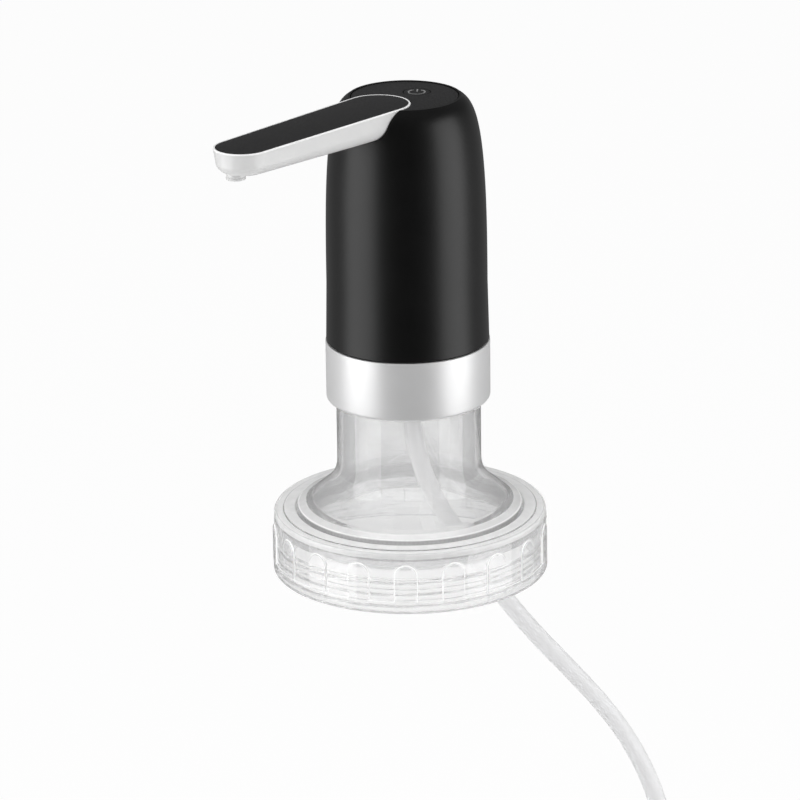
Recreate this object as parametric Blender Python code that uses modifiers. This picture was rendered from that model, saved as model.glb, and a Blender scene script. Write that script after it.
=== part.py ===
"""Electric pump for bottled water on a clear screw-on neck adapter.

Metres, +Z up. The origin is on the axis, in the plane where the lip gasket
rests on the bottle's mouth. The spout arm points to -Y, the charging port is
at +Y.
"""

import math

import bmesh
import bpy
from mathutils import Matrix, Vector


# Shared clearances and fineness
GAP = 0.0003                # between pieces that touch
OVERRUN = 0.002             # how far a cutter runs past what it cuts
SEGMENTS = 32               # sides of a large round piece
COLLAR_SEGMENTS = 36        # sides of the screw collar, two to each grip
MIDDLE_SEGMENTS = 20        # sides of the motor, the battery and the button
SMALL_SEGMENTS = 16         # sides of a small round piece
TINY_SEGMENTS = 8           # sides of a screw or a barb
ARC_STEPS = 3               # chords in a fillet
CIRCLE = 2 * math.pi

# Neck of the adapter, made for pumps that fit a 55 mm neck
NECK_DIAMETER = 0.0552
NECK_WALL = 0.0022
NECK_HEIGHT = 0.0700        # from the bottle's lip to the neck's top
CONE_SLOPE = math.radians(39)
CONE_FILLET = 0.014
RIM_RADIUS = 0.0433
RIM_WIDTH = 0.0032          # from the cone's foot to the rim's edge
RIM_DROP = 0.0013           # fall of the rim from the cone's foot to its edge
RIM_EDGE = 0.0006
FLANGE_WIDTH = 0.0053       # flange that the collar pulls down
FLANGE_THICKNESS = 0.0025
FLANGE_FALL = 0.0057        # from the rim's edge to the flange's top

# Lip gasket
GASKET_THICKNESS = 0.0020
GASKET_WIDTH = 0.0060
GASKET_INSET = 0.0031       # from the flange's edge

# Screw collar
COLLAR_WALL = 0.0034
COLLAR_HEIGHT = 0.0246
COLLAR_LIP_GAP = 0.0007     # between the rim and the collar's lip
COLLAR_LIP_THICKNESS = 0.0042
COLLAR_STEP_WIDTH = 0.0045
COLLAR_STEP_FALL = 0.0004
COLLAR_STEP = 0.0003
COLLAR_SHOULDER = 0.0012
COLLAR_BAND_HEIGHT = 0.0048
COLLAR_BAND_STAND = 0.0005
COLLAR_EDGE = 0.0006
GRIP_COUNT = 18
GRIP_WIDTH = 0.0092
GRIP_HEIGHT = 0.0150
GRIP_STAND = 0.0007
GRIP_ROOT = 0.0010          # how deep a grip's root runs into the wall
GRIP_PHASE = math.radians(-1)

# Silver base ring of the pump
RING_RADIUS = 0.0313
RING_WALL = 0.0014
RING_HEIGHT = 0.0231
RING_OVERLAP = 0.0165       # how far the ring reaches down over the neck
RING_LIP_THICKNESS = 0.0015
RING_LIP_CLEARANCE = 0.0008
RING_BOTTOM_EDGE = 0.0014
RING_TOP_EDGE = 0.0004

# Silicone seal between the neck and the ring
SEAL_RIB_DEPTH = 0.0006
SEAL_GROOVE_SHARE = 0.35    # of the seal's height, between its two ribs

# Base plate
PLATE_CLEARANCE = 0.0006
PLATE_THICKNESS = 0.0024
PLATE_RIM_HEIGHT = 0.0058
SPIGOT_HEIGHT = 0.0076
SPIGOT_WALL = 0.0016
SPIGOT_CLEARANCE = 0.0006

# Housing shell
HOUSING_STEP = 0.0003       # the shell's foot stands back from the ring
HOUSING_NARROWING = 0.0005  # from the foot to where the shoulder starts
HOUSING_WALL = 0.0020
HOUSING_ROOF = 0.0019
HOUSING_FOOT_EDGE = 0.0003
SHOULDER_HEIGHT = 0.0723    # below the shell's top
SHOULDER_APEX_SHARE = 0.01245  # of the shoulder's height, from the top to the curve's end
SHOULDER_POWER_UP = 2.73
SHOULDER_POWER_ACROSS = 9
SHOULDER_STEPS = 8
SHOULDER_INNER_STEPS = 4
HOUSING_SEAM_SHARE = 0.5    # of a side's angle, so that the port lies in a side's middle

# Top disc
DISC_RADIUS = 0.0201
DISC_THICKNESS = 0.0016
DISC_SINK = 0.0002
DISC_EDGE = 0.0002

# Power button and its switch
BUTTON_RADIUS = 0.0050
BUTTON_BEHIND = 0.0069      # from the axis, away from the arm
BUTTON_STAND = 0.0001
BUTTON_FLANGE_WIDTH = 0.0012
BUTTON_FLANGE_THICKNESS = 0.0012
BUTTON_STEM_RADIUS = 0.0013
BUTTON_EDGE = 0.0003
BUTTON_TRAVEL = 0.0006
SWITCH_SIDE = 0.0060
SWITCH_HEIGHT = 0.0035
SWITCH_BORE_DEPTH = 0.0022
PLUNGER_RADIUS = 0.0015
PLUNGER_LENGTH = 0.0026

# Spout arm: a tapered stadium seen from above
ARM_ROOT_FORWARD = 0.0154   # root arc's centre, from the axis
ARM_ROOT_RADIUS = 0.0123
ARM_TIP_FORWARD = 0.0888    # tip arc's centre, from the axis
ARM_TIP_RADIUS = 0.0107
ARM_ROOT_DEPTH = 0.0111
ARM_TIP_DEPTH = 0.0093
ARM_DRAFT = 0.0008          # each side, from the top to the bottom
ARM_BOTTOM_EDGE = 0.0040
ARM_WALL = 0.0013
ARM_RIM = 0.0007            # white rim round the black cover
ARM_STAND = 0.0003          # above the housing's top
ARM_ARC_STEPS = 8
ARM_COVER_THICKNESS = 0.0016
ARM_COVER_EDGE = 0.0002
ARM_BOSS_RADIUS = 0.0022
ARM_SCREW_SIDE = 0.0054
ARM_SCREW_FORWARD = 0.0095
POCKET_WALL = 0.0022

# Water tubes, barbs and nozzle
TUBE_RADIUS = 0.0024
TUBE_WALL = 0.0007
BARB_RADIUS = 0.0013
BARB_BORE = 0.0008
BARB_LENGTH = 0.0060
ELBOW_FORWARD = 0.0140
ELBOW_RADIUS = 0.0031
ELBOW_FLANGE_RADIUS = 0.0041
ELBOW_FLANGE_THICKNESS = 0.0010
ELBOW_CAP = 0.0020          # above the middle of its side barb
NOZZLE_FORWARD = 0.0926     # from the axis
NOZZLE_RADIUS = 0.0036
NOZZLE_BORE = 0.0022
NOZZLE_STAND = 0.0020       # below the arm
NOZZLE_EDGE = 0.0004

# Suction hose
HOSE_RADIUS = 0.0035
HOSE_WALL = 0.0010
HOSE_BARB_RADIUS = 0.0021
HOSE_BARB_BORE = 0.0013
HOSE_BARB_LENGTH = 0.0120
HOSE_SPACING = 0.0190       # between the points of its tube
HOSE_CLEARANCE = 0.0004     # between its top end and the base plate
HOSE_BEARING = math.radians(41.1)

# Pump: a square stack of pump head, valve plate, diaphragm and crank case
PUMP_SIDE = 0.0245
PUMP_CORNER = 0.0022
PUMP_LIFT = 0.0142          # above the frame's floor
PUMP_HEAD_HEIGHT = 0.0070
VALVE_PLATE_THICKNESS = 0.0020
VALVE_HOLE_RADIUS = 0.0009
DIAPHRAGM_THICKNESS = 0.0016
CUP_COUNT = 3
CUP_CIRCLE_RADIUS = 0.0054
CUP_RADIUS = 0.0038
CUP_HEIGHT = 0.0042
CUP_STEM_RADIUS = 0.0009
CUP_STEM_LENGTH = 0.0030
CRANK_CASE_HEIGHT = 0.0155
CRANK_CASE_BORE = 0.0102
CRANK_CASE_LID = 0.0016
CRANK_WINDOW_WIDTH = 0.0100
CRANK_WINDOW_HEIGHT = 0.0060
WOBBLE_RADIUS = 0.0088
WOBBLE_THICKNESS = 0.0016
WOBBLE_HUB_RADIUS = 0.0032
WOBBLE_HUB_BORE = 0.0024
WOBBLE_HUB_HEIGHT = 0.0024
ECCENTRIC_RADIUS = 0.0048
ECCENTRIC_HEIGHT = 0.0040
ECCENTRIC_OFFSET = 0.0010
ECCENTRIC_PIN_RADIUS = 0.0008
ECCENTRIC_PIN_LENGTH = 0.0020
PUMP_INLET_OFFSET = 0.0080  # from the pump's axis towards the frame's web
PUMP_OUTLET_OFFSET = 0.0040
PUMP_SCREW_INSET = 0.0026

# Motor
MOTOR_RADIUS = 0.0120
MOTOR_LENGTH = 0.0308
MOTOR_FLAT = 0.0006         # depth of the flats on its can
MOTOR_CAP_HEIGHT = 0.0034
MOTOR_CAP_INSET = 0.0004
MOTOR_EDGE = 0.0006
SHAFT_RADIUS = 0.0010
SHAFT_END = 0.0009          # above the motor's end cap
TERMINAL_WIDTH = 0.0022
TERMINAL_THICKNESS = 0.0006
TERMINAL_HEIGHT = 0.0012
TERMINAL_OFFSET = 0.0070

# Battery
BATTERY_RADIUS = 0.0091
BATTERY_LENGTH = 0.0650
BATTERY_LIFT = 0.0087
BATTERY_EDGE = 0.0006
BATTERY_NUB_RADIUS = 0.0027
BATTERY_NUB_HEIGHT = 0.0010

# Inner frame
FRAME_FLOOR_THICKNESS = 0.0020
FRAME_FLOOR_CLEARANCE = 0.0005
FRAME_HOLE_RADIUS = 0.0045
WEB_LEFT = 0.0032           # the web's face towards the pump
WEB_THICKNESS = 0.0016
WEB_FRONT = 0.0220
WEB_BACK = 0.0120
WEB_HEADROOM = 0.0020
WEB_PUMP_CLEARANCE = 0.0008
WEB_BATTERY_CLEARANCE = 0.0009
STRAP_WALL = 0.0014
STRAP_HEIGHT = 0.0060
MOTOR_STRAP_SHARE = 0.45    # of the motor's length, from its lower end
BATTERY_STRAP_SHARE = 0.7   # of the cell's length, from its lower end
SHELF_THICKNESS = 0.0020
FRAME_SCREW_CIRCLE = 0.0205
FRAME_SCREW_ANGLES = (math.radians(30), math.radians(150), math.radians(270))
FRAME_BOSS_RADIUS = 0.0029
FRAME_BOSS_HEIGHT = 0.0055

# Screws
SCREW_RADIUS = 0.0011
SCREW_HEAD_RADIUS = 0.0021
SCREW_HEAD_HEIGHT = 0.0013
SCREW_HOLE_RADIUS = 0.0014

# Control board
BOARD_RADIUS = 0.0215
BOARD_THICKNESS = 0.0016
BOARD_HOLE_CLEARANCE = 0.0007
POCKET_HEADROOM = 0.0023
CHIP_SIDE = 0.0050
CHIP_HEIGHT = 0.0012
CHIP_PLACE = (-0.0130, 0.0050)

# Charging board, port and status light
CHARGE_BOARD_WIDTH = 0.0140
CHARGE_BOARD_FRONT = 0.0136
CHARGE_BOARD_BACK = 0.0258
CHARGE_BOARD_THICKNESS = 0.0012
CHARGE_BOARD_LIFT = 0.0112
CHARGE_POST_RADIUS = 0.0016
CHARGE_POST_SIDE = 0.0048
CHARGE_POST_BACK = 0.0165
PORT_WIDTH = 0.0090
PORT_HEIGHT = 0.0032
PORT_DEPTH = 0.0075
PORT_WALL = 0.0003
PORT_SINK = 0.0005          # behind the housing's outer face
PORT_CORNER = 0.0012
LIGHT_RADIUS = 0.0012
LIGHT_RISE = 0.0090         # above the charging port
LIGHT_DEPTH = 0.0035

# Heights worked out from the sizes above
FLANGE_BOTTOM = GASKET_THICKNESS + GAP
FLANGE_TOP = FLANGE_BOTTOM + FLANGE_THICKNESS
RIM_EDGE_HEIGHT = FLANGE_TOP + FLANGE_FALL
CONE_FOOT_HEIGHT = RIM_EDGE_HEIGHT + RIM_DROP
CONE_FOOT_RADIUS = RIM_RADIUS - RIM_WIDTH
FLANGE_RADIUS = RIM_RADIUS + FLANGE_WIDTH
GASKET_OUTER_RADIUS = FLANGE_RADIUS - GASKET_INSET
GASKET_INNER_RADIUS = GASKET_OUTER_RADIUS - GASKET_WIDTH
COLLAR_BORE = FLANGE_RADIUS + GAP
COLLAR_RADIUS = COLLAR_BORE + COLLAR_WALL
COLLAR_LIP_BOTTOM = FLANGE_TOP + GAP
COLLAR_TOP = COLLAR_LIP_BOTTOM + COLLAR_LIP_THICKNESS
COLLAR_BOTTOM = COLLAR_TOP - COLLAR_HEIGHT
NECK_RADIUS = NECK_DIAMETER / 2
RING_BOTTOM = NECK_HEIGHT - RING_OVERLAP
RING_TOP = RING_BOTTOM + RING_HEIGHT
RING_BORE = RING_RADIUS - RING_WALL
PLATE_BOTTOM = NECK_HEIGHT + PLATE_CLEARANCE
PLATE_TOP = PLATE_BOTTOM + PLATE_THICKNESS
PLATE_RADIUS = RING_BORE - GAP
HOSE_TOP = PLATE_BOTTOM - HOSE_CLEARANCE
HOUSING_BOTTOM = RING_TOP + GAP
HOUSING_FOOT_RADIUS = RING_RADIUS - HOUSING_STEP
HOUSING_RADIUS = HOUSING_FOOT_RADIUS - HOUSING_NARROWING
SPIGOT_RADIUS = HOUSING_FOOT_RADIUS - HOUSING_WALL - SPIGOT_CLEARANCE
SPIGOT_BORE = SPIGOT_RADIUS - SPIGOT_WALL
PLATE_RIM_TOP = PLATE_BOTTOM + PLATE_RIM_HEIGHT
SPIGOT_TOP = PLATE_RIM_TOP + SPIGOT_HEIGHT
FRAME_FLOOR_BOTTOM = PLATE_TOP + GAP
FRAME_FLOOR_TOP = FRAME_FLOOR_BOTTOM + FRAME_FLOOR_THICKNESS
WEB_RIGHT = WEB_LEFT + WEB_THICKNESS
PUMP_X = WEB_LEFT - WEB_PUMP_CLEARANCE - PUMP_SIDE / 2
BATTERY_X = WEB_RIGHT + WEB_BATTERY_CLEARANCE + BATTERY_RADIUS
PUMP_HEAD_BOTTOM = FRAME_FLOOR_TOP + PUMP_LIFT
PUMP_HEAD_TOP = PUMP_HEAD_BOTTOM + PUMP_HEAD_HEIGHT
VALVE_PLATE_BOTTOM = PUMP_HEAD_TOP + GAP
VALVE_PLATE_TOP = VALVE_PLATE_BOTTOM + VALVE_PLATE_THICKNESS
DIAPHRAGM_BOTTOM = VALVE_PLATE_TOP + GAP
DIAPHRAGM_TOP = DIAPHRAGM_BOTTOM + DIAPHRAGM_THICKNESS
CUP_TOP = DIAPHRAGM_TOP + CUP_HEIGHT
CRANK_CASE_BOTTOM = DIAPHRAGM_TOP + GAP
CRANK_CASE_TOP = CRANK_CASE_BOTTOM + CRANK_CASE_HEIGHT
WOBBLE_BOTTOM = CUP_TOP + GAP
WOBBLE_TOP = WOBBLE_BOTTOM + WOBBLE_THICKNESS
ECCENTRIC_BOTTOM = WOBBLE_TOP + WOBBLE_HUB_HEIGHT + GAP
MOTOR_BOTTOM = CRANK_CASE_TOP + GAP
MOTOR_TOP = MOTOR_BOTTOM + MOTOR_LENGTH
MOTOR_CAP_BOTTOM = MOTOR_TOP + GAP
MOTOR_CAP_TOP = MOTOR_CAP_BOTTOM + MOTOR_CAP_HEIGHT
SHAFT_TOP = MOTOR_CAP_TOP + SHAFT_END
BATTERY_BOTTOM = FRAME_FLOOR_TOP + BATTERY_LIFT
BATTERY_TOP = BATTERY_BOTTOM + BATTERY_LENGTH
STACK_TOP = max(SHAFT_TOP, BATTERY_TOP + BATTERY_NUB_HEIGHT, MOTOR_CAP_TOP + TERMINAL_HEIGHT)
WEB_TOP = STACK_TOP + WEB_HEADROOM
BOARD_BOTTOM = WEB_TOP + GAP
BOARD_TOP = BOARD_BOTTOM + BOARD_THICKNESS
POCKET_UNDERSIDE = BOARD_TOP + POCKET_HEADROOM
ARM_BOTTOM = POCKET_UNDERSIDE + POCKET_WALL + GAP
ARM_TOP = ARM_BOTTOM + ARM_ROOT_DEPTH
HOUSING_TOP = ARM_TOP - ARM_STAND
DISC_TOP = HOUSING_TOP - DISC_SINK
DISC_BOTTOM = DISC_TOP - DISC_THICKNESS
DISC_SEAT = DISC_BOTTOM - GAP
ROOF_UNDERSIDE = DISC_SEAT - HOUSING_ROOF
SWITCH_BOTTOM = BOARD_TOP + GAP
SWITCH_TOP = SWITCH_BOTTOM + SWITCH_HEIGHT
PLUNGER_BOTTOM = SWITCH_TOP - SWITCH_BORE_DEPTH + GAP + BUTTON_TRAVEL
PLUNGER_TOP = PLUNGER_BOTTOM + PLUNGER_LENGTH
BUTTON_TOP = DISC_TOP + BUTTON_STAND
BUTTON_FLANGE_TOP = ROOF_UNDERSIDE - GAP
BUTTON_FLANGE_BOTTOM = BUTTON_FLANGE_TOP - BUTTON_FLANGE_THICKNESS
COVER_TOP = ARM_TOP
COVER_BOTTOM = COVER_TOP - ARM_COVER_THICKNESS
CHARGE_BOARD_BOTTOM = FRAME_FLOOR_TOP + CHARGE_BOARD_LIFT
CHARGE_BOARD_TOP = CHARGE_BOARD_BOTTOM + CHARGE_BOARD_THICKNESS
PORT_BOTTOM = CHARGE_BOARD_TOP + GAP
PORT_MIDDLE = PORT_BOTTOM + PORT_HEIGHT / 2
LIGHT_HEIGHT = PORT_MIDDLE + LIGHT_RISE
PUMP_AXIS = (PUMP_X, 0)
PUMP_BARB_HEIGHT = PUMP_HEAD_BOTTOM + PUMP_HEAD_HEIGHT / 2

# The hose's route in its own upright plane: distance from the axis, drop from its top end
HOSE_ROUTE = (
    (0.0000, 0.0000), (0.0000, 0.0102), (0.0002, 0.0182), (0.0012, 0.0287),
    (0.0038, 0.0422), (0.0084, 0.0557), (0.0146, 0.0677), (0.0222, 0.0792),
    (0.0306, 0.0917), (0.0399, 0.1052), (0.0500, 0.1177), (0.0602, 0.1292),
    (0.0730, 0.1442), (0.0835, 0.1592), (0.0920, 0.1762), (0.0985, 0.1962),
    (0.1030, 0.2192), (0.1055, 0.2442), (0.1065, 0.2712), (0.1066, 0.3002),
    (0.1064, 0.3302), (0.1060, 0.3682),
)


def clear_scene():
    """Remove every object that the file starts with."""
    for obj in list(bpy.data.objects):
        bpy.data.objects.remove(obj, do_unlink=True)


def new_collection(name):
    collection = bpy.data.collections.new(name)
    bpy.context.scene.collection.children.link(collection)
    return collection


def make_material(name, colour, roughness, metallic=0.0, alpha=1.0):
    """A plain material from the Principled BSDF."""
    material = bpy.data.materials.new(name)
    material.use_nodes = True
    shader = material.node_tree.nodes["Principled BSDF"]
    shader.inputs["Base Color"].default_value = (*colour, 1.0)
    shader.inputs["Roughness"].default_value = roughness
    shader.inputs["Metallic"].default_value = metallic
    shader.inputs["Alpha"].default_value = alpha
    return material


def add_object(name, data):
    """Link new data to the scene as one named object."""
    obj = bpy.data.objects.new(name, data)
    bpy.context.scene.collection.objects.link(obj)
    return obj


def move_to(obj, collection):
    for owner in list(obj.users_collection):
        owner.objects.unlink(obj)
    collection.objects.link(obj)


def fillet(before, corner, after, radius, chords):
    """Points of the arc that rounds one corner of an outline."""
    to_before = before - corner
    to_after = after - corner
    half_angle = to_before.angle(to_after) / 2
    longest = min(to_before.length, to_after.length) / 2
    reach = min(radius / math.tan(half_angle), longest)
    radius = reach * math.tan(half_angle)
    middle = (to_before.normalized() + to_after.normalized()).normalized()
    centre = corner + middle * (radius / math.sin(half_angle))
    start = corner + to_before.normalized() * reach - centre
    end = corner + to_after.normalized() * reach - centre
    turn = math.copysign(math.pi - 2 * half_angle, start.x * end.y - start.y * end.x)
    return [centre + Matrix.Rotation(turn * step / chords, 2) @ start
            for step in range(chords + 1)]


def rounded(corners):
    """An outline from corners of (across, up), and a fillet radius and its chords."""
    points = []
    for index, corner in enumerate(corners):
        here = Vector(corner[:2])
        radius = corner[2] if len(corner) > 2 else 0
        if radius > 0:
            before = Vector(corners[index - 1][:2])
            after = Vector(corners[(index + 1) % len(corners)][:2])
            chords = corner[3] if len(corner) > 3 else 1
            points.extend(fillet(before, here, after, radius, chords))
        else:
            points.append(here)
    return points


def turned(name, outline, segments=SEGMENTS, centre=(0, 0), closed=True, start_angle=0):
    """Turn an outline about Z. It runs down its outer side, and up its bore if closed."""
    mesh = bpy.data.meshes.new(name)
    form = bmesh.new()
    side = Vector((math.cos(start_angle), math.sin(start_angle), 0))
    verts = [form.verts.new(side * across + Vector((0, 0, up))) for across, up in outline]
    for start, end in zip(verts, verts[1:]):
        form.edges.new((start, end))
    if closed:
        form.edges.new((verts[-1], verts[0]))
    form.to_mesh(mesh)
    form.free()
    obj = add_object(name, mesh)
    obj.location = (*centre, 0)
    screw = obj.modifiers.new("Turn", "SCREW")
    screw.axis = "Z"
    screw.angle = CIRCLE
    screw.steps = segments
    screw.render_steps = segments
    screw.use_merge_vertices = True
    screw.merge_threshold = GAP / 30
    screw.use_smooth_shade = True
    return obj


def finish_mesh(name, form, centre=(0, 0)):
    """Write a bmesh to a new object, smooth except at its sharp edges."""
    bmesh.ops.recalc_face_normals(form, faces=form.faces)
    mesh = bpy.data.meshes.new(name)
    form.to_mesh(mesh)
    form.free()
    mesh.shade_smooth()
    mesh.set_sharp_from_angle(angle=math.radians(35))
    obj = add_object(name, mesh)
    obj.location = (*centre, 0)
    return obj


def cylinder(name, radius, low, high, centre=(0, 0), segments=SMALL_SEGMENTS):
    """An upright cylinder between two heights."""
    form = bmesh.new()
    middle = Matrix.Translation((0, 0, (low + high) / 2))
    bmesh.ops.create_cone(form, cap_ends=True, segments=segments, radius1=radius,
                          radius2=radius, depth=high - low, matrix=middle)
    return finish_mesh(name, form, centre)


def rod(name, radius, front, back, across, up, segments=TINY_SEGMENTS):
    """A cylinder that lies along Y, from front to back."""
    form = bmesh.new()
    place = Matrix.Translation((across, (front + back) / 2, up))
    place = place @ Matrix.Rotation(math.radians(90), 4, "X")
    bmesh.ops.create_cone(form, cap_ends=True, segments=segments, radius1=radius,
                          radius2=radius, depth=abs(back - front), matrix=place)
    return finish_mesh(name, form)


def block(name, low, high, corner=0, centre=(0, 0)):
    """A box between two corners, its upright edges rounded if corner is given."""
    form = bmesh.new()
    size = Vector(high) - Vector(low)
    place = Matrix.Translation((Vector(high) + Vector(low)) / 2) @ Matrix.Diagonal((*size, 1))
    bmesh.ops.create_cube(form, size=1, matrix=place)
    if corner > 0:
        upright = [edge for edge in form.edges
                   if abs(edge.verts[0].co.z - edge.verts[1].co.z) > size.z / 2]
        bmesh.ops.bevel(form, geom=upright, offset=corner, segments=ARC_STEPS - 1,
                        profile=0.5, affect="EDGES")
    return finish_mesh(name, form, centre)


def prism(name, outline, low, high):
    """An upright prism on an outline of (x, y) points."""
    form = bmesh.new()
    face = form.faces.new([form.verts.new((x, y, low)) for x, y in outline])
    raised = bmesh.ops.extrude_face_region(form, geom=[face])
    top = [item for item in raised["geom"] if isinstance(item, bmesh.types.BMVert)]
    bmesh.ops.translate(form, verts=top, vec=(0, 0, high - low))
    return finish_mesh(name, form)


def loft(name, rings):
    """A closed solid through rings of equally many points, capped at both ends."""
    form = bmesh.new()
    loops = [[form.verts.new(point) for point in ring] for ring in rings]
    for lower, upper in zip(loops, loops[1:]):
        for index in range(len(lower)):
            after = (index + 1) % len(lower)
            form.faces.new((lower[index], lower[after], upper[after], upper[index]))
    form.faces.new(loops[0])
    form.faces.new(list(reversed(loops[-1])))
    return finish_mesh(name, form)


def smooth_route(points, spacing):
    """Points at an even spacing on the smooth curve through the given ones."""
    fine = []
    route = [Vector(point) for point in points]
    ends = [2 * route[0] - route[1]] + route + [2 * route[-1] - route[-2]]
    fine_steps = 24
    for a, b, c, d in zip(ends, ends[1:], ends[2:], ends[3:]):
        for step in range(fine_steps):
            t = step / fine_steps
            fine.append(0.5 * (2 * b + (c - a) * t + (2 * a - 5 * b + 4 * c - d) * t ** 2
                               + (3 * b - a - 3 * c + d) * t ** 3))
    fine.append(route[-1])
    lengths = [0]
    for start, end in zip(fine, fine[1:]):
        lengths.append(lengths[-1] + (end - start).length)
    count = max(2, round(lengths[-1] / spacing))
    sampled = []
    place = 0
    for index in range(count + 1):
        wanted = lengths[-1] * index / count
        while place < len(fine) - 2 and lengths[place + 1] < wanted:
            place += 1
        share = (wanted - lengths[place]) / (lengths[place + 1] - lengths[place])
        sampled.append(fine[place].lerp(fine[place + 1], min(1, share)))
    return sampled


def tube(name, points, spacing, radius, wall, resolution):
    """A hollow tube along a smooth route, its ends open."""
    curve = bpy.data.curves.new(name, "CURVE")
    curve.dimensions = "3D"
    curve.bevel_depth = radius
    curve.bevel_resolution = resolution
    route = smooth_route(points, spacing)
    spline = curve.splines.new("POLY")
    spline.points.add(len(route) - 1)
    for target, point in zip(spline.points, route):
        target.co = (*point, 1)
    obj = add_object(name, curve)
    wall_modifier = obj.modifiers.new("Wall", "SOLIDIFY")
    wall_modifier.thickness = wall
    wall_modifier.offset = -1
    wall_modifier.use_even_offset = True
    return obj


def combine(target, operand, operation):
    """Add a Boolean, and keep its operand out of the model."""
    boolean = target.modifiers.new(operation.title(), "BOOLEAN")
    boolean.operation = operation
    boolean.object = operand
    operand.hide_render = True
    operand.display_type = "WIRE"
    move_to(operand, bpy.data.collections["Cutters"])


def cut(target, *cutters):
    for cutter in cutters:
        combine(target, cutter, "DIFFERENCE")
    return target


def join(target, *others):
    for other in others:
        combine(target, other, "UNION")
    return target


def soften(obj, width):
    """Round an object's sharp edges a little."""
    bevel = obj.modifiers.new("Edges", "BEVEL")
    bevel.width = width
    bevel.segments = 1
    bevel.limit_method = "ANGLE"
    bevel.angle_limit = math.radians(50)
    return obj


def housing_radius(height):
    """The housing's outer radius at a height: a straight foot, then the shoulder."""
    start = HOUSING_TOP - SHOULDER_HEIGHT
    if height <= start:
        share = (height - HOUSING_BOTTOM) / (start - HOUSING_BOTTOM)
        return HOUSING_FOOT_RADIUS - HOUSING_NARROWING * share
    share = (height - start) / (SHOULDER_HEIGHT * (1 + SHOULDER_APEX_SHARE))
    return HOUSING_RADIUS * (1 - share ** SHOULDER_POWER_UP) ** (1 / SHOULDER_POWER_ACROSS)


def housing_outline(top, inset, steps):
    """Outer side of the housing from a height down to its foot, moved in by the inset."""
    start = HOUSING_TOP - SHOULDER_HEIGHT
    points = []
    for step in range(steps + 1):
        rise = math.sin(math.radians(90) * (1 - step / steps))
        height = start + (top - start) * rise
        points.append((housing_radius(height) - inset, height))
    return points


def arm_depth(forward):
    """The arm's depth at a distance from the axis."""
    share = (forward - ARM_ROOT_FORWARD) / (ARM_TIP_FORWARD - ARM_ROOT_FORWARD)
    return ARM_ROOT_DEPTH + (ARM_TIP_DEPTH - ARM_ROOT_DEPTH) * share


def arm_outline(grow):
    """The arm seen from above: two arcs joined by their tangents, grown outwards."""
    lean = math.asin((ARM_ROOT_RADIUS - ARM_TIP_RADIUS) / (ARM_TIP_FORWARD - ARM_ROOT_FORWARD))
    points = []
    for step in range(ARM_ARC_STEPS + 1):
        angle = -lean + (math.pi + 2 * lean) * step / ARM_ARC_STEPS
        reach = ARM_ROOT_RADIUS + grow
        points.append((reach * math.cos(angle), reach * math.sin(angle) - ARM_ROOT_FORWARD))
    for step in range(ARM_ARC_STEPS + 1):
        angle = math.pi + lean + (math.pi - 2 * lean) * step / ARM_ARC_STEPS
        reach = ARM_TIP_RADIUS + grow
        points.append((reach * math.cos(angle), reach * math.sin(angle) - ARM_TIP_FORWARD))
    return points


def arm_ring(grow, lift):
    """The outline at the arm's bottom, raised by the lift."""
    return [(x, y, ARM_TOP - arm_depth(-y) + lift) for x, y in arm_outline(grow)]


def arm_form(name, grow, top):
    """The arm's outer form, drafted, with a rounded lower edge and grown all round."""
    rings = [[(x, y, top) for x, y in arm_outline(grow)]]
    edge = ARM_BOTTOM_EDGE
    for step in range(ARC_STEPS + 1):
        angle = math.radians(90) * step / ARC_STEPS
        inset = ARM_DRAFT + edge * (1 - math.cos(angle))
        rings.append(arm_ring(grow - inset, edge * (1 - math.sin(angle)) - grow))
    return loft(name, rings)


def make_neck_insert():
    """Clear neck: a straight tube that flares to a rim and a flange."""
    slope = math.tan(CONE_SLOPE)
    bend = CONE_FOOT_HEIGHT + slope * (CONE_FOOT_RADIUS - NECK_RADIUS)
    bore = NECK_RADIUS - NECK_WALL
    foot_bore = CONE_FOOT_RADIUS - NECK_WALL / math.sin(CONE_SLOPE)
    inner_bend = CONE_FOOT_HEIGHT + slope * (foot_bore - bore)
    outline = rounded([
        (bore + RIM_EDGE, NECK_HEIGHT),
        (NECK_RADIUS, NECK_HEIGHT, RIM_EDGE),
        (NECK_RADIUS, bend, CONE_FILLET, ARC_STEPS),
        (CONE_FOOT_RADIUS, CONE_FOOT_HEIGHT),
        (RIM_RADIUS, RIM_EDGE_HEIGHT, RIM_EDGE),
        (RIM_RADIUS, FLANGE_TOP),
        (FLANGE_RADIUS, FLANGE_TOP),
        (FLANGE_RADIUS, FLANGE_BOTTOM),
        (foot_bore, FLANGE_BOTTOM),
        (foot_bore, CONE_FOOT_HEIGHT),
        (bore, inner_bend, CONE_FILLET, ARC_STEPS),
        (bore, NECK_HEIGHT - RIM_EDGE),
    ])
    return turned("neck_insert", outline)


def make_lip_gasket():
    """Flat gasket between the flange and the bottle's lip."""
    return turned("lip_gasket", [
        (GASKET_OUTER_RADIUS, GASKET_THICKNESS), (GASKET_OUTER_RADIUS, 0),
        (GASKET_INNER_RADIUS, 0), (GASKET_INNER_RADIUS, GASKET_THICKNESS),
    ])


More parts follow.
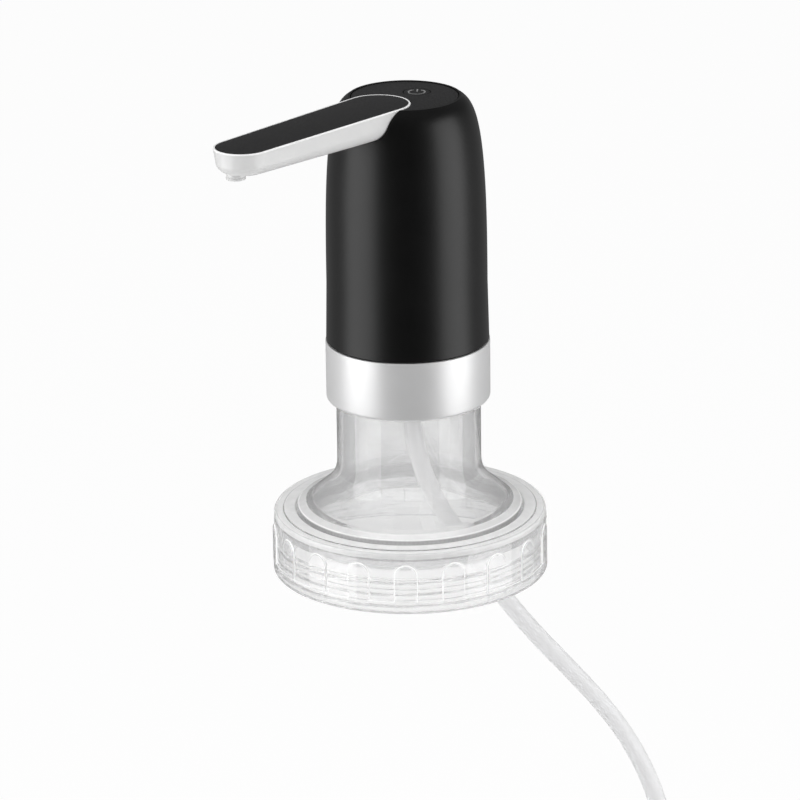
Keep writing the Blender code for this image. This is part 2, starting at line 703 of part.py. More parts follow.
def make_grips():
    """Eighteen arch-shaped grips in one mesh, each a plate with a round top."""
    low = COLLAR_BOTTOM + COLLAR_BAND_HEIGHT / 2
    spring = COLLAR_BOTTOM + COLLAR_BAND_HEIGHT + GRIP_HEIGHT - GRIP_WIDTH / 2
    arch_steps = 4
    arch = [(-GRIP_WIDTH / 2, low), (GRIP_WIDTH / 2, low)]
    for step in range(arch_steps + 1):
        angle = math.pi * step / arch_steps
        arch.append((GRIP_WIDTH / 2 * math.cos(angle), spring + GRIP_WIDTH / 2 * math.sin(angle)))
    form = bmesh.new()
    for grip in range(GRIP_COUNT):
        turn = Matrix.Rotation(GRIP_PHASE + CIRCLE * grip / GRIP_COUNT, 4, "Z")
        near = COLLAR_RADIUS - GRIP_ROOT
        far = COLLAR_RADIUS + GRIP_STAND
        root = [form.verts.new(turn @ Vector((x, -near, z))) for x, z in arch]
        face = form.faces.new(root)
        raised = bmesh.ops.extrude_face_region(form, geom=[face])
        outer = [item for item in raised["geom"] if isinstance(item, bmesh.types.BMVert)]
        bmesh.ops.translate(form, verts=outer, vec=turn @ Vector((0, near - far, 0)))
    return finish_mesh("grips", form)


def make_screw_collar():
    """Clear collar that screws on the bottle and holds the flange down."""
    lip_radius = RIM_RADIUS + COLLAR_LIP_GAP
    step_radius = lip_radius + COLLAR_STEP_WIDTH
    step_height = COLLAR_TOP - COLLAR_STEP_FALL
    band_top = COLLAR_BOTTOM + COLLAR_BAND_HEIGHT
    band_radius = COLLAR_RADIUS + COLLAR_BAND_STAND
    outline = rounded([
        (lip_radius, COLLAR_TOP, COLLAR_EDGE),
        (step_radius, step_height),
        (step_radius + COLLAR_STEP, step_height - COLLAR_STEP),
        (COLLAR_RADIUS, step_height - COLLAR_STEP, COLLAR_SHOULDER, ARC_STEPS - 1),
        (COLLAR_RADIUS, band_top + COLLAR_BAND_STAND),
        (band_radius, band_top),
        (band_radius, COLLAR_BOTTOM, COLLAR_EDGE),
        (COLLAR_BORE, COLLAR_BOTTOM),
        (COLLAR_BORE, COLLAR_LIP_BOTTOM),
        (lip_radius, COLLAR_LIP_BOTTOM),
    ])
    collar = turned("screw_collar", outline, segments=COLLAR_SEGMENTS)
    return join(collar, make_grips())


def make_base_ring():
    """Silver ring with an inner lip under the seal."""
    lip_radius = NECK_RADIUS + RING_LIP_CLEARANCE
    outline = rounded([
        (RING_BORE, RING_TOP),
        (RING_RADIUS, RING_TOP, RING_TOP_EDGE),
        (RING_RADIUS, RING_BOTTOM, RING_BOTTOM_EDGE, ARC_STEPS - 1),
        (lip_radius, RING_BOTTOM),
        (lip_radius, RING_BOTTOM + RING_LIP_THICKNESS),
        (RING_BORE, RING_BOTTOM + RING_LIP_THICKNESS),
    ])
    return turned("base_ring", outline)


def make_neck_seal():
    """Silicone sleeve whose two ribs grip the neck."""
    outer = RING_BORE - GAP
    rib = NECK_RADIUS + GAP
    low = RING_BOTTOM + RING_LIP_THICKNESS + GAP
    high = PLATE_BOTTOM - GAP
    groove = (high - low) * SEAL_GROOVE_SHARE / 2
    middle = (low + high) / 2
    return turned("neck_seal", [
        (outer, high), (outer, low), (rib, low), (rib, middle - groove),
        (rib + SEAL_RIB_DEPTH, middle - groove), (rib + SEAL_RIB_DEPTH, middle + groove),
        (rib, middle + groove), (rib, high),
    ])


def screw_places():
    """Centres of the three frame screws."""
    return [(FRAME_SCREW_CIRCLE * math.cos(angle), FRAME_SCREW_CIRCLE * math.sin(angle))
            for angle in FRAME_SCREW_ANGLES]


def make_base_plate():
    """Plate over the neck, with a spigot for the housing and a barb each way."""
    middle = PLATE_BOTTOM + PLATE_THICKNESS / 2
    plate = turned("base_plate", [
        (0, PLATE_TOP), (SPIGOT_BORE, PLATE_TOP), (SPIGOT_BORE, SPIGOT_TOP),
        (SPIGOT_RADIUS, SPIGOT_TOP), (SPIGOT_RADIUS, PLATE_RIM_TOP),
        (PLATE_RADIUS, PLATE_RIM_TOP), (PLATE_RADIUS, PLATE_BOTTOM), (0, PLATE_BOTTOM),
    ], closed=False)
    hose_barb_end = PLATE_BOTTOM - HOSE_BARB_LENGTH
    tube_barb_end = PLATE_TOP + BARB_LENGTH
    join(plate, cylinder("hose_barb", HOSE_BARB_RADIUS, hose_barb_end, middle))
    join(plate, cylinder("tube_barb", BARB_RADIUS, middle, tube_barb_end,
                         segments=TINY_SEGMENTS))
    cut(plate, cylinder("hose_barb_bore", HOSE_BARB_BORE, hose_barb_end - OVERRUN, middle,
                        segments=TINY_SEGMENTS))
    cut(plate, cylinder("tube_barb_bore", BARB_BORE, middle - GAP, tube_barb_end + OVERRUN,
                        segments=TINY_SEGMENTS))
    for index, place in enumerate(screw_places()):
        hole = cylinder(f"plate_hole_{index}", SCREW_HOLE_RADIUS, PLATE_BOTTOM - OVERRUN,
                        PLATE_TOP + OVERRUN, place, TINY_SEGMENTS)
        sink = cylinder(f"plate_sink_{index}", SCREW_HEAD_RADIUS + GAP, PLATE_BOTTOM - OVERRUN,
                        PLATE_BOTTOM + SCREW_HEAD_HEIGHT + GAP, place, TINY_SEGMENTS)
        cut(plate, sink, hole)
    return plate


def make_screw(name, place, head_bottom, length):
    """A pan head with its shank above it."""
    head_top = head_bottom + SCREW_HEAD_HEIGHT
    outline = [
        (0, head_top + length), (SCREW_RADIUS, head_top + length), (SCREW_RADIUS, head_top),
        (SCREW_HEAD_RADIUS, head_top), (SCREW_HEAD_RADIUS, head_bottom + SCREW_HEAD_HEIGHT / 2),
        (SCREW_HEAD_RADIUS - SCREW_HEAD_HEIGHT / 2, head_bottom), (0, head_bottom),
    ]
    return turned(name, outline, TINY_SEGMENTS, place, closed=False)


def make_frame_screws():
    length = PLATE_THICKNESS + FRAME_FLOOR_THICKNESS + FRAME_BOSS_HEIGHT - 2 * SCREW_HEAD_HEIGHT
    return [make_screw(f"frame_screw_{index + 1}", place, PLATE_BOTTOM + GAP / 2, length)
            for index, place in enumerate(screw_places())]


def make_strap(name, centre, radius, middle):
    """A ring round a cylinder, fused to the frame's web."""
    low = middle - STRAP_HEIGHT / 2
    high = middle + STRAP_HEIGHT / 2
    outer = radius + GAP + STRAP_WALL
    outline = [(outer, high), (outer, low), (radius + GAP, low), (radius + GAP, high)]
    return turned(name, outline, MIDDLE_SEGMENTS, (centre, 0))


def make_inner_frame():
    """Floor, upright web, straps for motor and battery, shelf, bosses and posts."""
    radius = SPIGOT_BORE - FRAME_FLOOR_CLEARANCE
    frame = turned("inner_frame", [
        (radius, FRAME_FLOOR_TOP), (radius, FRAME_FLOOR_BOTTOM),
        (FRAME_HOLE_RADIUS, FRAME_FLOOR_BOTTOM), (FRAME_HOLE_RADIUS, FRAME_FLOOR_TOP),
    ])
    web = block("web", (WEB_LEFT, -WEB_FRONT, FRAME_FLOOR_BOTTOM + GAP),
                (WEB_RIGHT, WEB_BACK, WEB_TOP))
    arch = cylinder("web_arch", FRAME_HOLE_RADIUS + GAP, FRAME_FLOOR_BOTTOM - OVERRUN,
                    FRAME_FLOOR_TOP + BARB_LENGTH + OVERRUN)
    shelf_top = BATTERY_BOTTOM - GAP
    shelf = block("shelf", (WEB_LEFT + WEB_THICKNESS / 2, -BATTERY_RADIUS / 2,
                            shelf_top - SHELF_THICKNESS),
                  (BATTERY_X + BATTERY_RADIUS, BATTERY_RADIUS / 2, shelf_top))
    join(frame, cut(web, arch), shelf)
    motor_strap_height = MOTOR_BOTTOM + MOTOR_LENGTH * MOTOR_STRAP_SHARE
    join(frame, make_strap("motor_strap", PUMP_X, MOTOR_RADIUS, motor_strap_height))
    battery_strap_height = BATTERY_BOTTOM + BATTERY_LENGTH * BATTERY_STRAP_SHARE
    join(frame, make_strap("battery_strap", BATTERY_X, BATTERY_RADIUS, battery_strap_height))
    foot = FRAME_FLOOR_TOP - FRAME_FLOOR_THICKNESS / 2
    for index, place in enumerate(screw_places()):
        join(frame, cylinder(f"frame_boss_{index}", FRAME_BOSS_RADIUS, foot,
                             FRAME_FLOOR_TOP + FRAME_BOSS_HEIGHT, place, TINY_SEGMENTS))
    for side in (-1, 1):
        join(frame, cylinder(f"charge_post_{side}", CHARGE_POST_RADIUS, foot,
                             CHARGE_BOARD_BOTTOM - GAP,
                             (side * CHARGE_POST_SIDE, CHARGE_POST_BACK), TINY_SEGMENTS))
    for index, place in enumerate(screw_places()):
        cut(frame, cylinder(f"frame_bore_{index}", SCREW_HOLE_RADIUS,
                            FRAME_FLOOR_BOTTOM - OVERRUN,
                            FRAME_FLOOR_TOP + FRAME_BOSS_HEIGHT + OVERRUN, place, TINY_SEGMENTS))
    return frame


def make_battery_cell():
    """A single cell with its raised pole."""
    outline = rounded([
        (0, BATTERY_TOP + BATTERY_NUB_HEIGHT),
        (BATTERY_NUB_RADIUS, BATTERY_TOP + BATTERY_NUB_HEIGHT),
        (BATTERY_NUB_RADIUS, BATTERY_TOP),
        (BATTERY_RADIUS - BATTERY_EDGE, BATTERY_TOP),
        (BATTERY_RADIUS, BATTERY_TOP - BATTERY_EDGE),
        (BATTERY_RADIUS, BATTERY_BOTTOM + BATTERY_EDGE),
        (BATTERY_RADIUS - BATTERY_EDGE, BATTERY_BOTTOM),
        (0, BATTERY_BOTTOM),
    ])
    return turned("battery_cell", outline, MIDDLE_SEGMENTS, (BATTERY_X, 0),
                  closed=False)


def pump_block(name, low, high):
    """One square layer of the pump, centred on its own axis."""
    half = PUMP_SIDE / 2
    return block(name, (-half, -half, low), (half, half, high), PUMP_CORNER, PUMP_AXIS)


def pump_screw_places():
    reach = PUMP_SIDE / 2 - PUMP_SCREW_INSET
    return [(PUMP_X + side * reach, front * reach) for side in (-1, 1) for front in (-1, 1)]


def cut_pump_screw_holes(layer, low, high):
    for index, place in enumerate(pump_screw_places()):
        cut(layer, cylinder(f"{layer.name}_screw_hole_{index}", SCREW_HOLE_RADIUS, low, high,
                            place, TINY_SEGMENTS))


def cup_places():
    """Centres of the three cups about the pump's axis."""
    return [(PUMP_X + CUP_CIRCLE_RADIUS * math.cos(CIRCLE * cup / CUP_COUNT),
             CUP_CIRCLE_RADIUS * math.sin(CIRCLE * cup / CUP_COUNT))
            for cup in range(CUP_COUNT)]


def make_pump_head():
    """Cover with the inlet barb below and the outlet barb in front."""
    head = pump_block("pump_head", PUMP_HEAD_BOTTOM, PUMP_HEAD_TOP)
    inlet_place = (PUMP_X + PUMP_INLET_OFFSET, 0)
    outlet_across = PUMP_X + PUMP_OUTLET_OFFSET
    front = -PUMP_SIDE / 2
    inlet_low = PUMP_HEAD_BOTTOM - BARB_LENGTH
    join(head, cylinder("inlet_barb", BARB_RADIUS, inlet_low, PUMP_HEAD_BOTTOM + OVERRUN,
                        inlet_place, TINY_SEGMENTS))
    join(head, rod("outlet_barb", BARB_RADIUS, front - BARB_LENGTH, front + OVERRUN,
                   outlet_across, PUMP_BARB_HEIGHT))
    cut(head, cylinder("inlet_bore", BARB_BORE, inlet_low - OVERRUN, PUMP_BARB_HEIGHT,
                       inlet_place, TINY_SEGMENTS))
    cut(head, rod("outlet_bore", BARB_BORE, front - BARB_LENGTH - OVERRUN,
                  front + PUMP_CORNER + OVERRUN, outlet_across, PUMP_BARB_HEIGHT))
    cut_pump_screw_holes(head, PUMP_HEAD_BOTTOM - OVERRUN, PUMP_HEAD_TOP + OVERRUN)
    return head


def make_valve_plate():
    """Plate with a hole under each cup and one in the middle."""
    plate = pump_block("valve_plate", VALVE_PLATE_BOTTOM, VALVE_PLATE_TOP)
    for index, place in enumerate(cup_places() + [PUMP_AXIS]):
        cut(plate, cylinder(f"valve_hole_{index}", VALVE_HOLE_RADIUS,
                            VALVE_PLATE_BOTTOM - OVERRUN, VALVE_PLATE_TOP + OVERRUN,
                            place, TINY_SEGMENTS))
    cut_pump_screw_holes(plate, VALVE_PLATE_BOTTOM - OVERRUN, VALVE_PLATE_TOP + OVERRUN)
    return plate


def make_diaphragm():
    """Rubber sheet with three cups, each with a stem to the wobble plate."""
    sheet = pump_block("diaphragm", DIAPHRAGM_BOTTOM, DIAPHRAGM_TOP)
    for index, place in enumerate(cup_places()):
        outline = [
            (0, CUP_TOP + CUP_STEM_LENGTH), (CUP_STEM_RADIUS, CUP_TOP + CUP_STEM_LENGTH),
            (CUP_STEM_RADIUS, CUP_TOP), (CUP_RADIUS / 2, CUP_TOP),
            (CUP_RADIUS, DIAPHRAGM_TOP + CUP_HEIGHT / 2),
            (CUP_RADIUS, DIAPHRAGM_BOTTOM + DIAPHRAGM_THICKNESS / 2),
            (0, DIAPHRAGM_BOTTOM + DIAPHRAGM_THICKNESS / 2),
        ]
        join(sheet, turned(f"cup_{index}", outline, TINY_SEGMENTS, place, closed=False))
    cut_pump_screw_holes(sheet, DIAPHRAGM_BOTTOM - OVERRUN, DIAPHRAGM_TOP + OVERRUN)
    return sheet


def make_crank_case():
    """Open case round the wobble plate, with a lid under the motor and side windows."""
    case = pump_block("crank_case", CRANK_CASE_BOTTOM, CRANK_CASE_TOP)
    cut(case, cylinder("crank_bore", CRANK_CASE_BORE, CRANK_CASE_BOTTOM - OVERRUN,
                       CRANK_CASE_TOP - CRANK_CASE_LID, PUMP_AXIS))
    cut(case, cylinder("crank_shaft_hole", ECCENTRIC_RADIUS, CRANK_CASE_BOTTOM,
                       CRANK_CASE_TOP + OVERRUN, PUMP_AXIS))
    window_low = CRANK_CASE_TOP - CRANK_CASE_LID - CRANK_WINDOW_HEIGHT - SCREW_RADIUS
    half = CRANK_WINDOW_WIDTH / 2
    reach = PUMP_SIDE / 2 + OVERRUN
    cut(case, block("crank_window", (-half, -reach, window_low),
                    (half, reach, window_low + CRANK_WINDOW_HEIGHT), centre=PUMP_AXIS))
    cut_pump_screw_holes(case, CRANK_CASE_BOTTOM - OVERRUN, pump_screw_top() + GAP)
    return case


def pump_screw_top():
    return CRANK_CASE_BOTTOM + CRANK_CASE_HEIGHT * 2 / 3


def make_pump_screws():
    head_bottom = PUMP_HEAD_BOTTOM - GAP - SCREW_HEAD_HEIGHT
    length = pump_screw_top() - head_bottom - SCREW_HEAD_HEIGHT
    return [make_screw(f"pump_screw_{index + 1}", place, head_bottom, length)
            for index, place in enumerate(pump_screw_places())]


def make_wobble_plate():
    """Plate that works the cups, with a hub for the eccentric's pin."""
    hub_top = WOBBLE_TOP + WOBBLE_HUB_HEIGHT
    plate = turned("wobble_plate", [
        (WOBBLE_HUB_RADIUS, hub_top), (WOBBLE_HUB_RADIUS, WOBBLE_TOP),
        (WOBBLE_RADIUS, WOBBLE_TOP), (WOBBLE_RADIUS, WOBBLE_BOTTOM),
        (WOBBLE_HUB_BORE, WOBBLE_BOTTOM), (WOBBLE_HUB_BORE, hub_top),
    ], MIDDLE_SEGMENTS, PUMP_AXIS)
    for index, place in enumerate(cup_places()):
        cut(plate, cylinder(f"stem_hole_{index}", CUP_STEM_RADIUS + GAP,
                            WOBBLE_BOTTOM - OVERRUN, WOBBLE_TOP + OVERRUN, place, TINY_SEGMENTS))
    return plate


def make_eccentric():
    """Crank on the motor's shaft, its pin off the axis in the wobble plate's hub."""
    bore = SHAFT_RADIUS + GAP
    high = ECCENTRIC_BOTTOM + ECCENTRIC_HEIGHT
    middle = ECCENTRIC_BOTTOM + ECCENTRIC_HEIGHT / 4
    radius = ECCENTRIC_RADIUS - 2 * GAP
    crank = turned("eccentric", [
        (0, middle), (bore, middle), (bore, high), (radius, high), (radius, ECCENTRIC_BOTTOM),
        (0, ECCENTRIC_BOTTOM),
    ], SMALL_SEGMENTS, PUMP_AXIS, closed=False)
    pin_place = (PUMP_X + ECCENTRIC_OFFSET, 0)
    join(crank, cylinder("eccentric_pin", ECCENTRIC_PIN_RADIUS,
                         ECCENTRIC_BOTTOM - ECCENTRIC_PIN_LENGTH, ECCENTRIC_BOTTOM + GAP,
                         pin_place, TINY_SEGMENTS))
    return crank


def make_motor_shaft():
    low = ECCENTRIC_BOTTOM + ECCENTRIC_HEIGHT / 4 + GAP
    return cylinder("motor_shaft", SHAFT_RADIUS, low, SHAFT_TOP, PUMP_AXIS, TINY_SEGMENTS)


def make_motor_can():
    """Steel can with a flat on each side and a bore for the shaft."""
    bore = SHAFT_RADIUS + GAP
    can = turned("motor_can", [
        (MOTOR_RADIUS - MOTOR_EDGE, MOTOR_TOP), (MOTOR_RADIUS, MOTOR_TOP - MOTOR_EDGE),
        (MOTOR_RADIUS, MOTOR_BOTTOM + MOTOR_EDGE), (MOTOR_RADIUS - MOTOR_EDGE, MOTOR_BOTTOM),
        (bore, MOTOR_BOTTOM), (bore, MOTOR_TOP),
    ], MIDDLE_SEGMENTS, PUMP_AXIS)
    for side in (-1, 1):
        near = side * (MOTOR_RADIUS - MOTOR_FLAT)
        far = side * (MOTOR_RADIUS + OVERRUN)
        cut(can, block(f"motor_flat_{side}",
                       (-MOTOR_RADIUS, min(near, far), MOTOR_BOTTOM - OVERRUN),
                       (MOTOR_RADIUS, max(near, far), MOTOR_TOP + OVERRUN), centre=PUMP_AXIS))
    return can


def make_motor_end_cap():
    """Plastic cap with its two terminals."""
    radius = MOTOR_RADIUS - MOTOR_CAP_INSET
    bore = SHAFT_RADIUS + GAP
    cap = turned("motor_end_cap", [
        (radius - MOTOR_EDGE, MOTOR_CAP_TOP), (radius, MOTOR_CAP_TOP - MOTOR_EDGE),
        (radius, MOTOR_CAP_BOTTOM), (bore, MOTOR_CAP_BOTTOM), (bore, MOTOR_CAP_TOP),
    ], MIDDLE_SEGMENTS, PUMP_AXIS)
    for side in (-1, 1):
        low = (-TERMINAL_THICKNESS / 2, side * TERMINAL_OFFSET - TERMINAL_WIDTH / 2,
               MOTOR_CAP_TOP - GAP)
        high = (TERMINAL_THICKNESS / 2, side * TERMINAL_OFFSET + TERMINAL_WIDTH / 2,
                MOTOR_CAP_TOP + TERMINAL_HEIGHT)
        join(cap, block(f"terminal_{side}", low, high, centre=PUMP_AXIS))
    return cap


def make_inlet_tube():
    """From the base plate's barb to the pump's inlet."""
    across = PUMP_X + PUMP_INLET_OFFSET
    low = PLATE_TOP + GAP
    high = PUMP_HEAD_BOTTOM - GAP
    barb_end = PLATE_TOP + BARB_LENGTH
    inlet_end = PUMP_HEAD_BOTTOM - BARB_LENGTH
    return tube("inlet_tube", [
        (0, 0, low), (0, 0, barb_end), (across / 2, 0, (barb_end + inlet_end) / 2),
        (across, 0, inlet_end), (across, 0, high),
    ], BARB_LENGTH / 3, TUBE_RADIUS, TUBE_WALL, 2)


def make_outlet_tube():
    """From the pump's outlet up past the motor to the elbow in the arm."""
    across = PUMP_X + PUMP_OUTLET_OFFSET
    front = -PUMP_SIDE / 2
    straight = front - BARB_LENGTH - TUBE_RADIUS / 2
    turn = straight - TUBE_RADIUS
    top = elbow_shoulder() - GAP
    top_start = top - 2 * BARB_LENGTH
    return tube("outlet_tube", [
        (across, front - GAP, PUMP_BARB_HEIGHT),
        (across, straight, PUMP_BARB_HEIGHT),
        (across, turn, PUMP_BARB_HEIGHT + TUBE_RADIUS),
        (across, turn - TUBE_RADIUS / 3, PUMP_BARB_HEIGHT + 3 * TUBE_RADIUS),
        (across / 2, turn + TUBE_RADIUS, (PUMP_BARB_HEIGHT + top_start) / 2),
        (0, -ELBOW_FORWARD, top_start),
        (0, -ELBOW_FORWARD, (top_start + top) / 2 - BARB_LENGTH / 2),
        (0, -ELBOW_FORWARD, top),
    ], BARB_LENGTH * 3 / 5, TUBE_RADIUS, TUBE_WALL, 2)


def elbow_shoulder():
    """Height where the elbow's barrel begins, just under the control board."""
    return BOARD_BOTTOM - ELBOW_RADIUS


def arm_floor_height(forward):
    return ARM_TOP - arm_depth(forward) + ARM_WALL


def arm_tube_height(forward):
    """Middle of the space between the arm's floor and its cover."""
    return (arm_floor_height(forward) + COVER_BOTTOM) / 2


def make_arm_elbow():
    """Barrel that comes up through the housing's roof, with a barb down and one forward."""
    place = (0, -ELBOW_FORWARD)
    shoulder = elbow_shoulder()
    side_barb = arm_tube_height(ELBOW_FORWARD)
    flange_low = arm_floor_height(ELBOW_FORWARD) + GAP
    flange_high = flange_low + ELBOW_FLANGE_THICKNESS
    top = side_barb + ELBOW_CAP
    elbow = turned("arm_elbow", [
        (0, top), (ELBOW_RADIUS, top), (ELBOW_RADIUS, flange_high),
        (ELBOW_FLANGE_RADIUS, flange_high), (ELBOW_FLANGE_RADIUS, flange_low),
        (ELBOW_RADIUS, flange_low), (ELBOW_RADIUS, shoulder), (BARB_RADIUS, shoulder),
        (BARB_RADIUS, shoulder - BARB_LENGTH), (0, shoulder - BARB_LENGTH),
    ], SMALL_SEGMENTS, place, closed=False)
    barb_end = -ELBOW_FORWARD - ELBOW_RADIUS - BARB_LENGTH
    join(elbow, rod("elbow_barb", BARB_RADIUS, barb_end, -ELBOW_FORWARD, 0, side_barb))
    cut(elbow, cylinder("elbow_bore", BARB_BORE, shoulder - BARB_LENGTH - OVERRUN, side_barb,
                        place, TINY_SEGMENTS))
    cut(elbow, rod("elbow_side_bore", BARB_BORE, barb_end - OVERRUN, -ELBOW_FORWARD, 0,
                   side_barb))
    return elbow


def make_spout_tube():
    """Straight tube along the arm from the elbow to the nozzle."""
    back = ELBOW_FORWARD + ELBOW_FLANGE_RADIUS + GAP
    front = NOZZLE_FORWARD - NOZZLE_RADIUS - ELBOW_FLANGE_THICKNESS - GAP
    middle = (back + front) / 2
    return tube("spout_tube", [
        (0, -back, arm_tube_height(ELBOW_FORWARD)),
        (0, -middle, (arm_tube_height(ELBOW_FORWARD) + arm_tube_height(NOZZLE_FORWARD)) / 2),
        (0, -front, arm_tube_height(NOZZLE_FORWARD)),
    ], (front - back) / 4, TUBE_RADIUS, TUBE_WALL, 2)


def make_nozzle():
    """Outlet ring under the arm's tip, with a barb back to the tube."""
    place = (0, -NOZZLE_FORWARD)
    low = ARM_TOP - arm_depth(NOZZLE_FORWARD) - NOZZLE_STAND
    barb = arm_tube_height(NOZZLE_FORWARD)
    roof = barb + ELBOW_CAP
    nozzle = turned("nozzle", [
        (0, roof), (NOZZLE_RADIUS, roof), (NOZZLE_RADIUS, low + NOZZLE_EDGE),
        (NOZZLE_RADIUS - NOZZLE_EDGE, low), (NOZZLE_BORE, low), (NOZZLE_BORE, barb + BARB_BORE),
        (0, barb + BARB_BORE),
    ], SMALL_SEGMENTS, place, closed=False)
    barb_end = -NOZZLE_FORWARD + NOZZLE_RADIUS + BARB_LENGTH
    start = -NOZZLE_FORWARD + NOZZLE_BORE + GAP
    join(nozzle, rod("nozzle_barb", BARB_RADIUS, start, barb_end, 0, barb))
    cut(nozzle, rod("nozzle_side_bore", BARB_BORE, -NOZZLE_FORWARD, barb_end + OVERRUN, 0, barb))
    return nozzle


def arm_screw_places():
    return [(side * ARM_SCREW_SIDE, -ARM_SCREW_FORWARD) for side in (-1, 1)]


def make_arm_shell():
    """White tray of the arm, with a rebate for its cover and two screw bosses."""
    shell = arm_form("arm_shell", 0, ARM_TOP)
    cavity = arm_form("arm_cavity", -ARM_WALL, ARM_TOP + OVERRUN)
    rebate_floor = COVER_BOTTOM - GAP
    for index, place in enumerate(arm_screw_places()):
        cut(cavity, cylinder(f"arm_boss_{index}", ARM_BOSS_RADIUS, ARM_BOTTOM - OVERRUN,
                             rebate_floor, place, TINY_SEGMENTS))
    rebate = prism("arm_rebate", arm_outline(-ARM_RIM), rebate_floor, ARM_TOP + OVERRUN)
    elbow_hole = cylinder("arm_elbow_hole", ELBOW_RADIUS + GAP, ARM_BOTTOM - OVERRUN,
                          arm_floor_height(ELBOW_FORWARD) + OVERRUN, (0, -ELBOW_FORWARD))
    tip_bottom = ARM_TOP - arm_depth(NOZZLE_FORWARD)
    nozzle_hole = cylinder("arm_nozzle_hole", NOZZLE_RADIUS + GAP, tip_bottom - OVERRUN,
                           tip_bottom + ARM_WALL + OVERRUN, (0, -NOZZLE_FORWARD))
    cut(shell, cavity, rebate, elbow_hole, nozzle_hole)
    for index, place in enumerate(arm_screw_places()):
        cut(shell, cylinder(f"arm_screw_bore_{index}", SCREW_HOLE_RADIUS, ARM_BOTTOM - OVERRUN,
                            COVER_BOTTOM + OVERRUN, place, TINY_SEGMENTS))
    return shell


def make_arm_cover():
    """Black cover in the arm's rebate."""
    cover = prism("arm_cover", arm_outline(-ARM_RIM - GAP), COVER_BOTTOM, COVER_TOP)
    return soften(cover, ARM_COVER_EDGE)


def make_arm_screws():
    head_bottom = POCKET_UNDERSIDE - 2 * GAP - SCREW_HEAD_HEIGHT
    length = COVER_BOTTOM - 2 * GAP - head_bottom - SCREW_HEAD_HEIGHT
    return [make_screw(f"arm_screw_{index + 1}", place, head_bottom, length)
            for index, place in enumerate(arm_screw_places())]


def arm_pocket(name):
    """The space in the housing and the disc where the arm's root lies."""
    return arm_form(name, GAP, ARM_TOP + OVERRUN)


def turned_housing(name, outline):
    """Turn an outline so that no edge of its sides lies at the arm or the port."""
    return turned(name, outline, closed=False, start_angle=CIRCLE / SEGMENTS * HOUSING_SEAM_SHARE)


def make_pocket_walls():
    """Walls and floor round the arm's pocket, rooted in the middle of shell and roof."""
    top = ROOF_UNDERSIDE + HOUSING_ROOF / 2
    root = [(0, top)] + housing_outline(top, HOUSING_WALL / 2, SHOULDER_INNER_STEPS)
    root.append((0, root[-1][1]))
    walls = arm_form("pocket_walls", GAP + POCKET_WALL, top + OVERRUN)
    combine(walls, turned_housing("pocket_root", root), "INTERSECT")
    return walls


def make_housing_shell():
    """Black shell with a domed shoulder, a recess for the disc and a pocket for the arm."""
    recess_radius = DISC_RADIUS + GAP
    outline = [(0, DISC_SEAT), (recess_radius, DISC_SEAT), (recess_radius, HOUSING_TOP)]
    outline += housing_outline(HOUSING_TOP, 0, SHOULDER_STEPS)
    outline += [(HOUSING_FOOT_RADIUS, HOUSING_BOTTOM + HOUSING_FOOT_EDGE),
                (HOUSING_FOOT_RADIUS - HOUSING_FOOT_EDGE, HOUSING_BOTTOM),
                (HOUSING_FOOT_RADIUS - HOUSING_WALL, HOUSING_BOTTOM)]
    outline += reversed(housing_outline(ROOF_UNDERSIDE, HOUSING_WALL, SHOULDER_INNER_STEPS))
    outline.append((0, ROOF_UNDERSIDE))
    shell = turned_housing("housing_shell", outline)
    join(shell, make_pocket_walls())
    cut(shell, arm_pocket("arm_pocket"))
    cut(shell, cylinder("button_hole", BUTTON_RADIUS + GAP, ROOF_UNDERSIDE - OVERRUN,
                        DISC_SEAT + OVERRUN, (0, BUTTON_BEHIND), MIDDLE_SEGMENTS))
    cut(shell, cylinder("roof_elbow_hole", ELBOW_RADIUS + GAP, POCKET_UNDERSIDE - OVERRUN,
                        ARM_BOTTOM + OVERRUN, (0, -ELBOW_FORWARD)))
    for index, place in enumerate(arm_screw_places()):
        cut(shell, cylinder(f"roof_screw_hole_{index}", SCREW_HOLE_RADIUS,
                            POCKET_UNDERSIDE - OVERRUN, ARM_BOTTOM + OVERRUN, place,
                            TINY_SEGMENTS))
    wall_middle = housing_radius(PORT_MIDDLE) - HOUSING_WALL / 2
    half = PORT_WIDTH / 2 + GAP
    slot = block("port_slot", (-half, wall_middle - HOUSING_WALL, PORT_BOTTOM - GAP),
                 (half, wall_middle + HOUSING_WALL + OVERRUN, PORT_BOTTOM + PORT_HEIGHT + GAP))
    light_hole = rod("light_hole", LIGHT_RADIUS + GAP, wall_middle - HOUSING_WALL,
                     wall_middle + HOUSING_WALL + OVERRUN, 0, LIGHT_HEIGHT, SMALL_SEGMENTS)
    return cut(shell, slot, light_hole)


def make_top_disc():
    """Black disc on the housing, cut out round the arm and the button."""
    disc = cylinder("top_disc", DISC_RADIUS, DISC_BOTTOM, DISC_TOP, segments=SEGMENTS)
    cut(disc, arm_pocket("disc_pocket"))
    return cut(disc, cylinder("disc_button_hole", BUTTON_RADIUS + GAP, DISC_BOTTOM - OVERRUN,
                              DISC_TOP + OVERRUN, (0, BUTTON_BEHIND), MIDDLE_SEGMENTS))


